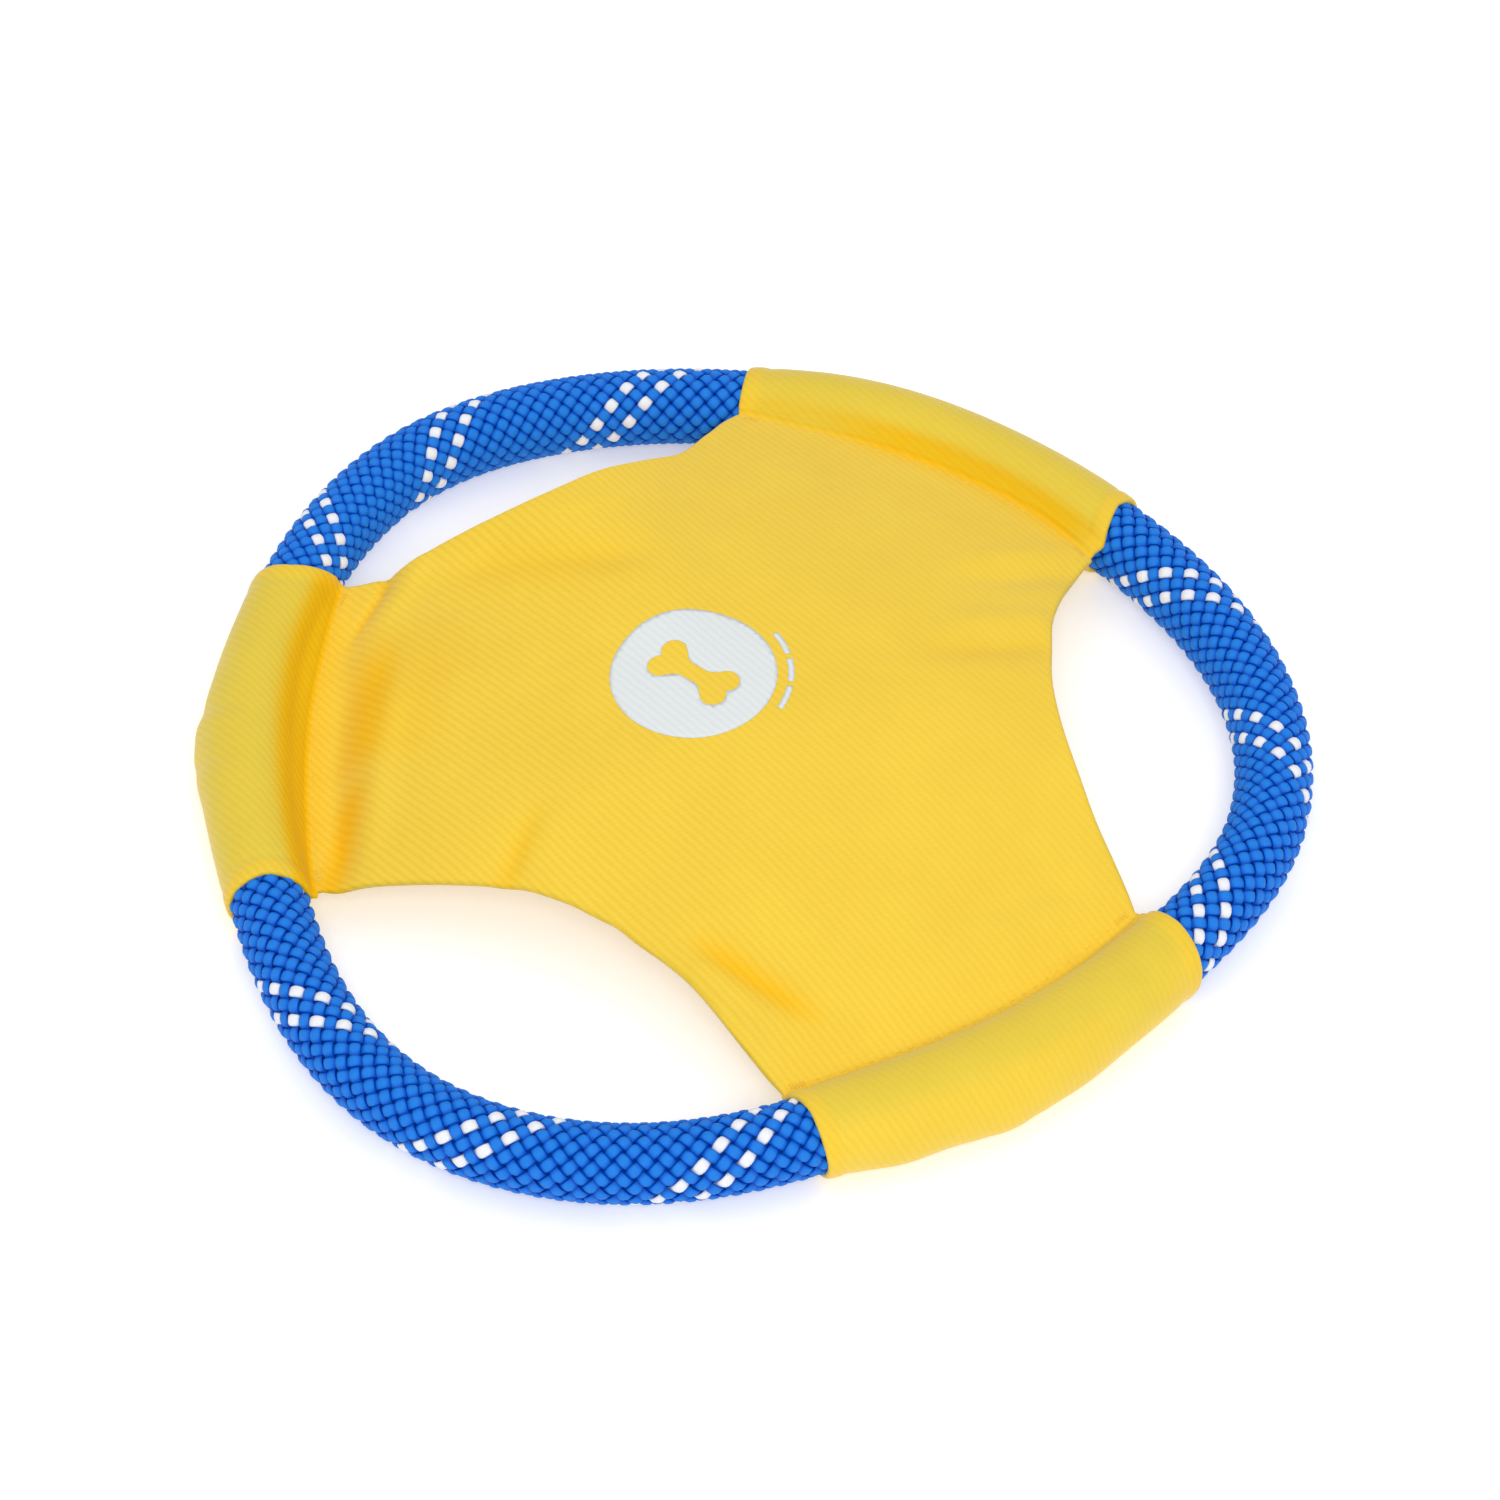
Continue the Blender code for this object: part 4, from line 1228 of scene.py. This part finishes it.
def fabric(name, light, dark, sleeve):
    """Twill; "sleeve" tints it where the tube value is high, a painted sheen and shade on the
    sleeves; the "shade" value paints shade into the folds.
    """
    net = Shader(name)
    vector, x, y = net.pattern()
    rib, turn = twill_ribs(net, vector, x, y)
    floats = twill_floats(net, x, y, turn)
    fuzz = net.noise(vector, scale=9.0, detail=3.0, rough=0.6)
    blotch = net.noise(vector, scale=0.045, detail=3.0)
    # weave relief: shares of rib, float and fuzz; it drives the bump and also paints the ribs
    # lighter and the grooves darker, partly the weave's texture and partly painted highlight and
    # shade
    weave_relief = net.math("ADD", net.math("MULTIPLY", rib, 0.72), net.math("MULTIPLY", floats, 0.18))
    weave_relief = net.math("ADD", weave_relief, net.math("MULTIPLY", fuzz, 0.16))
    # its contrast fades from left to right and on the sleeves
    contrast = net.remap(x, low=-60.0, high=50.0, to_low=1.35, to_high=0.7, kind="LINEAR")
    on_sleeve = net.remap(
        net.value("tube"), low=0.0, high=1.0, to_low=1.0, to_high=0.7, kind="LINEAR")
    contrast = net.math("MULTIPLY", contrast, on_sleeve)
    weave_relief = net.math("MULTIPLY_ADD", net.math("SUBTRACT", weave_relief, 0.5), contrast, 0.5)
    base = net.mix(net.remap(weave_relief, low=0.02, high=0.98, kind="LINEAR"), dark, light)
    patches = net.mix(
        net.remap(blotch, low=0.35, high=0.7), (0.975, 0.965, 0.93, 1), (1.0, 1.0, 1.0, 1.0))
    base = net.mix(1.0, base, patches, "MULTIPLY")
    # where the tube value is high the colour takes the sleeve tint, a painted sheen and shade on
    # the sleeves' tops
    base = net.mix(net.value("tube"), base, net.mix(1.0, base, sleeve, "MULTIPLY"))
    # painted shade in folds, valleys and sleeve walls: the shade value darkens and saturates the
    # colour, painted shade with painted yellow bounce light
    painted_shade = net.value("shade")
    shadow_tint = (1.08, 0.85, 0.05, 1.0)
    base = net.mix(painted_shade, base, net.mix(1.0, base, shadow_tint, "MULTIPLY"))
    weave = net.bump(weave_relief, distance=0.00006, strength=1.0)
    slack = net.noise(vector, scale=0.16)
    net.set(
        Base_Color=base,
        Roughness=net.remap(fuzz, low=0.3, high=0.7, to_low=0.62, to_high=0.78),
        IOR=1.45,
        # less sheen and specular where the painted shade lies, a painted loss of highlight
        Sheen_Weight=net.remap(
            painted_shade, low=0.0, high=1.0, to_low=0.22, to_high=0.02, kind="LINEAR"),
        Specular_IOR_Level=net.remap(
            painted_shade, low=0.0, high=1.0, to_low=0.55, to_high=0.08, kind="LINEAR"),
        Sheen_Roughness=0.5,
        Normal=net.bump(slack, distance=0.0006, strength=0.5, normal=weave),
    )
    return net.material


def thread_material(name, colour):
    net = Shader(name)
    place = net.object_place()
    fibre = net.noise(place, scale=9000.0, rough=0.6)
    patch = net.noise(place, scale=300.0)
    base = net.mix(net.remap(fibre, low=0.3, high=0.7), darker(colour, 0.88), colour)
    base = net.mix(net.remap(patch, low=0.3, high=0.7, to_high=0.3), base, darker(colour, 0.92))
    net.set(Base_Color=base, Roughness=0.55, Sheen_Weight=0.2,
            Normal=net.bump(fibre, distance=0.00005, strength=0.8))
    return net.material


def yarn_material(name, light, dark, deep, roughness, low=0.15, high=0.7):
    """Filament yarn; "deep" is a painted shade, shown where the relief is below low to high: where
    a yarn dips under another and at its sides.
    """
    net = Shader(name)
    vector, _, y = net.pattern()
    # fine parallel filaments along the yarn, slightly wandering
    wander = net.noise(vector, scale=0.8, detail=1.0)
    wander = net.math("MULTIPLY", net.math("SUBTRACT", wander, 0.5), 0.35)
    filament_pitch = 0.16
    line = net.ripple(
        net.math("MULTIPLY", net.math("ADD", y, wander), 2 * math.pi / filament_pitch))
    fuzz = net.noise(vector, scale=5.0, rough=0.6)
    strands = net.math("MULTIPLY_ADD", line, 0.45, net.math("MULTIPLY", fuzz, 0.6))
    base = net.mix(net.remap(strands, low=0.15, high=0.9), dark, light)
    tint = net.remap(net.value("tint"), low=0.0, high=1.0, to_high=0.18, kind="LINEAR")
    base = net.mix(tint, base, dark)
    base = net.mix(net.remap(net.value("relief"), low=low, high=high), deep, base)
    net.set(Base_Color=base, Roughness=roughness, Specular_IOR_Level=0.14,
            Normal=net.bump(strands, distance=0.00006, strength=0.9))
    return net.material


def plain_material(name, light, dark, roughness, scale, distance):
    net = Shader(name)
    speckle = net.noise(net.object_place(), scale=scale, detail=3.0, rough=0.6)
    net.set(Base_Color=net.mix(net.remap(speckle, low=0.3, high=0.7), dark, light),
            Roughness=roughness, Normal=net.bump(speckle, distance=distance, strength=0.8))
    return net.material


def print_material():
    net = Shader("screen_print_white")
    vector, x, y = net.pattern()
    rib, _ = twill_ribs(net, vector, x, y)
    fuzz = net.noise(vector, scale=6.0, detail=3.0, rough=0.6)
    body = net.mix(net.remap(fuzz, low=0.3, high=0.75), rgb(209, 213, 214), rgb(221, 226, 226))
    base = net.mix(net.math("MULTIPLY", rib, 0.35), body, rgb(229, 234, 234))
    relief = net.math("ADD", net.math("MULTIPLY", rib, 0.5), net.math("MULTIPLY", fuzz, 0.3))
    net.set(Base_Color=base, Roughness=0.5, Specular_IOR_Level=0.4,
            Normal=net.bump(relief, distance=0.00008, strength=0.7))
    return net.material


# sleeve: a paler, greener tint, painted sheen and shade for the sleeves
mat_fabric = fabric(
    "twill_yellow", light=(0.856, 0.598, 0.036, 1), dark=(0.810, 0.536, 0.022, 1),
    sleeve=(0.865, 0.945, 1.05, 1.0))
mat_lining = fabric(
    "twill_yellow_lining", light=(0.83, 0.54, 0.016, 1), dark=(0.76, 0.45, 0.006, 1),
    sleeve=(1, 1, 1, 1))
mat_thread = thread_material("sewing_thread_yellow", colour=(0.90, 0.60, 0.03, 1))
# yarns: their deep colours are painted shade where they dip and at their sides
mat_blue = yarn_material(
    "braid_yarn_blue", light=(0.024, 0.240, 0.80, 1), dark=(0.004, 0.172, 0.70, 1),
    deep=(0.0, 0.082, 0.54, 1), roughness=0.5, low=0.40, high=0.95)
# dark blue of the sheet inside the braid: painted shade of the gaps between yarns
mat_gap_shade = yarn_material(
    "braid_gap_shade_blue", light=(0.0, 0.075, 0.52, 1), dark=(0.0, 0.065, 0.46, 1),
    deep=(0.0, 0.065, 0.46, 1), roughness=0.9)
mat_white = yarn_material(
    "braid_yarn_white", light=rgb(250, 250, 252), dark=rgb(224, 228, 236),
    deep=rgb(120, 150, 200), roughness=0.45)
mat_core = plain_material(
    "core_fibre", light=rgb(222, 220, 208), dark=rgb(190, 186, 172),
    roughness=0.8, scale=2500.0, distance=0.0001)
mat_wrap = plain_material(
    "joint_band_film", light=rgb(205, 210, 214), dark=rgb(176, 182, 188),
    roughness=0.35, scale=900.0, distance=0.00004)
mat_print = print_material()

for obj, material in (
    (cover, mat_fabric), (lining, mat_lining), (badge, mat_print), (band, mat_wrap),
    (sheath, mat_blue), (gap_shade_sheet, mat_gap_shade), *((tracer, mat_white) for tracer in tracers),
    *((thread, mat_thread) for thread in threads),
):
    obj.data.materials.append(material)

# Materials of the CAD nodes, whose meshes stay as they are; the rest are thread.
NODE_MATERIALS = {
    "core_strand_1": mat_core, "core_strand_2": mat_core, "core_strand_3": mat_core,
    "join_wrap": mat_wrap, "rope_sheath": mat_blue, "panel_upper": mat_fabric,
    "panel_lower": mat_lining, "badge_print": mat_print, "tracer_yarn_1": mat_white,
    "tracer_yarn_2": mat_white,
}
for node in frame["nodes"]:
    obj, material = frame["nodes"][node], NODE_MATERIALS.get(node, mat_thread)
    if not obj.material_slots:
        obj.data.materials.append(material)
    for slot in obj.material_slots:
        slot.material = material

# ------------------------------------------------------------------ floor, light, camera
scene = bpy.context.scene
FLOOR_HALF = 4                  # m
# Key light: place in m, side in m, power in W.
KEY_AT, KEY_AIM, KEY_SIZE, KEY_POWER = (0.15, -1.45, 1.7), (0, 0, 0.01), 0.8, 16.8
CAMERA_AT = (1.811, -796.220, 966.029)
CAMERA_DOWN, CAMERA_ROLL = math.radians(50.105), -0.01229   # radians


def build_floor():
    mesh = bpy.data.meshes.new("floor")
    corners = [(x * FLOOR_HALF, y * FLOOR_HALF, 0) for x, y in ((-1, -1), (1, -1), (1, 1), (-1, 1))]
    mesh.from_pydata(corners, [], [(0, 1, 2, 3)])
    floor = bpy.data.objects.new("floor", mesh)
    scene.collection.objects.link(floor)
    net = Shader("studio_floor")
    net.set(Base_Color=(0.80, 0.80, 0.805, 1), Roughness=0.9, Specular_IOR_Level=0.1,
            Emission_Color=(1.0, 1.0, 1.0, 1.0), Emission_Strength=0.34)
    mesh.materials.append(net.material)


def build_world():
    """White surroundings, brighter overhead, and even where the camera sees them."""
    scene.world = bpy.data.worlds.new("studio")
    net = Nodes(scene.world)
    back = net.new("ShaderNodeBackground")
    net.link(back.outputs[0], net.new("ShaderNodeOutputWorld").inputs[0])
    split = net.new("ShaderNodeSeparateXYZ")
    net.link(net.new("ShaderNodeTexCoord").outputs["Generated"], split.inputs[0])
    glow = net.remap(
        split.outputs[2], low=0.0, high=1.0, to_low=0.28, to_high=1.15, kind="LINEAR")
    seen = net.new("ShaderNodeMix", data_type="FLOAT")
    net.link(net.new("ShaderNodeLightPath").outputs["Is Camera Ray"], seen.inputs[0])
    net.link(glow, seen.inputs[2])
    seen.inputs[3].default_value = 0.97     # strength seen by the camera
    net.link(seen.outputs[0], back.inputs[1])
    back.inputs[0].default_value = (1.0, 1.0, 1.0, 1.0)


def build_key_light():
    data = bpy.data.lights.new("key_softbox", "AREA")
    data.shape = "SQUARE"
    data.size = KEY_SIZE
    data.energy = KEY_POWER
    light = bpy.data.objects.new("key_softbox", data)
    scene.collection.objects.link(light)
    light.location = KEY_AT
    light.rotation_mode = "QUATERNION"
    light.rotation_quaternion = (Vector(KEY_AIM) - Vector(KEY_AT)).to_track_quat("-Z", "Y")


def build_camera():
    """Looks down from the front, rolled slightly."""
    camera = bpy.data.objects.new("camera", bpy.data.cameras.new("camera"))
    scene.collection.objects.link(camera)
    camera.data.sensor_width = 36.0
    camera.data.lens = 163.31
    camera.data.clip_start = 0.05
    camera.data.clip_end = 50.0
    forward = Vector((0, math.cos(CAMERA_DOWN), -math.sin(CAMERA_DOWN)))
    right = Vector((1, 0, 0))
    up = right.cross(forward)
    cos_roll, sin_roll = math.cos(CAMERA_ROLL), math.sin(CAMERA_ROLL)
    rolled_right = right * cos_roll + up * sin_roll
    rolled_up = up * cos_roll - right * sin_roll
    place = (np.array(CAMERA_AT) + CENTRE) * MM
    camera.matrix_world = Matrix(
        [*zip(rolled_right, rolled_up, -forward, place), (0, 0, 0, 1)])
    scene.camera = camera


build_floor()
build_world()
build_key_light()
build_camera()
scene.view_settings.view_transform = "Standard"
scene.view_settings.look = "None"

bpy.context.view_layer.update()
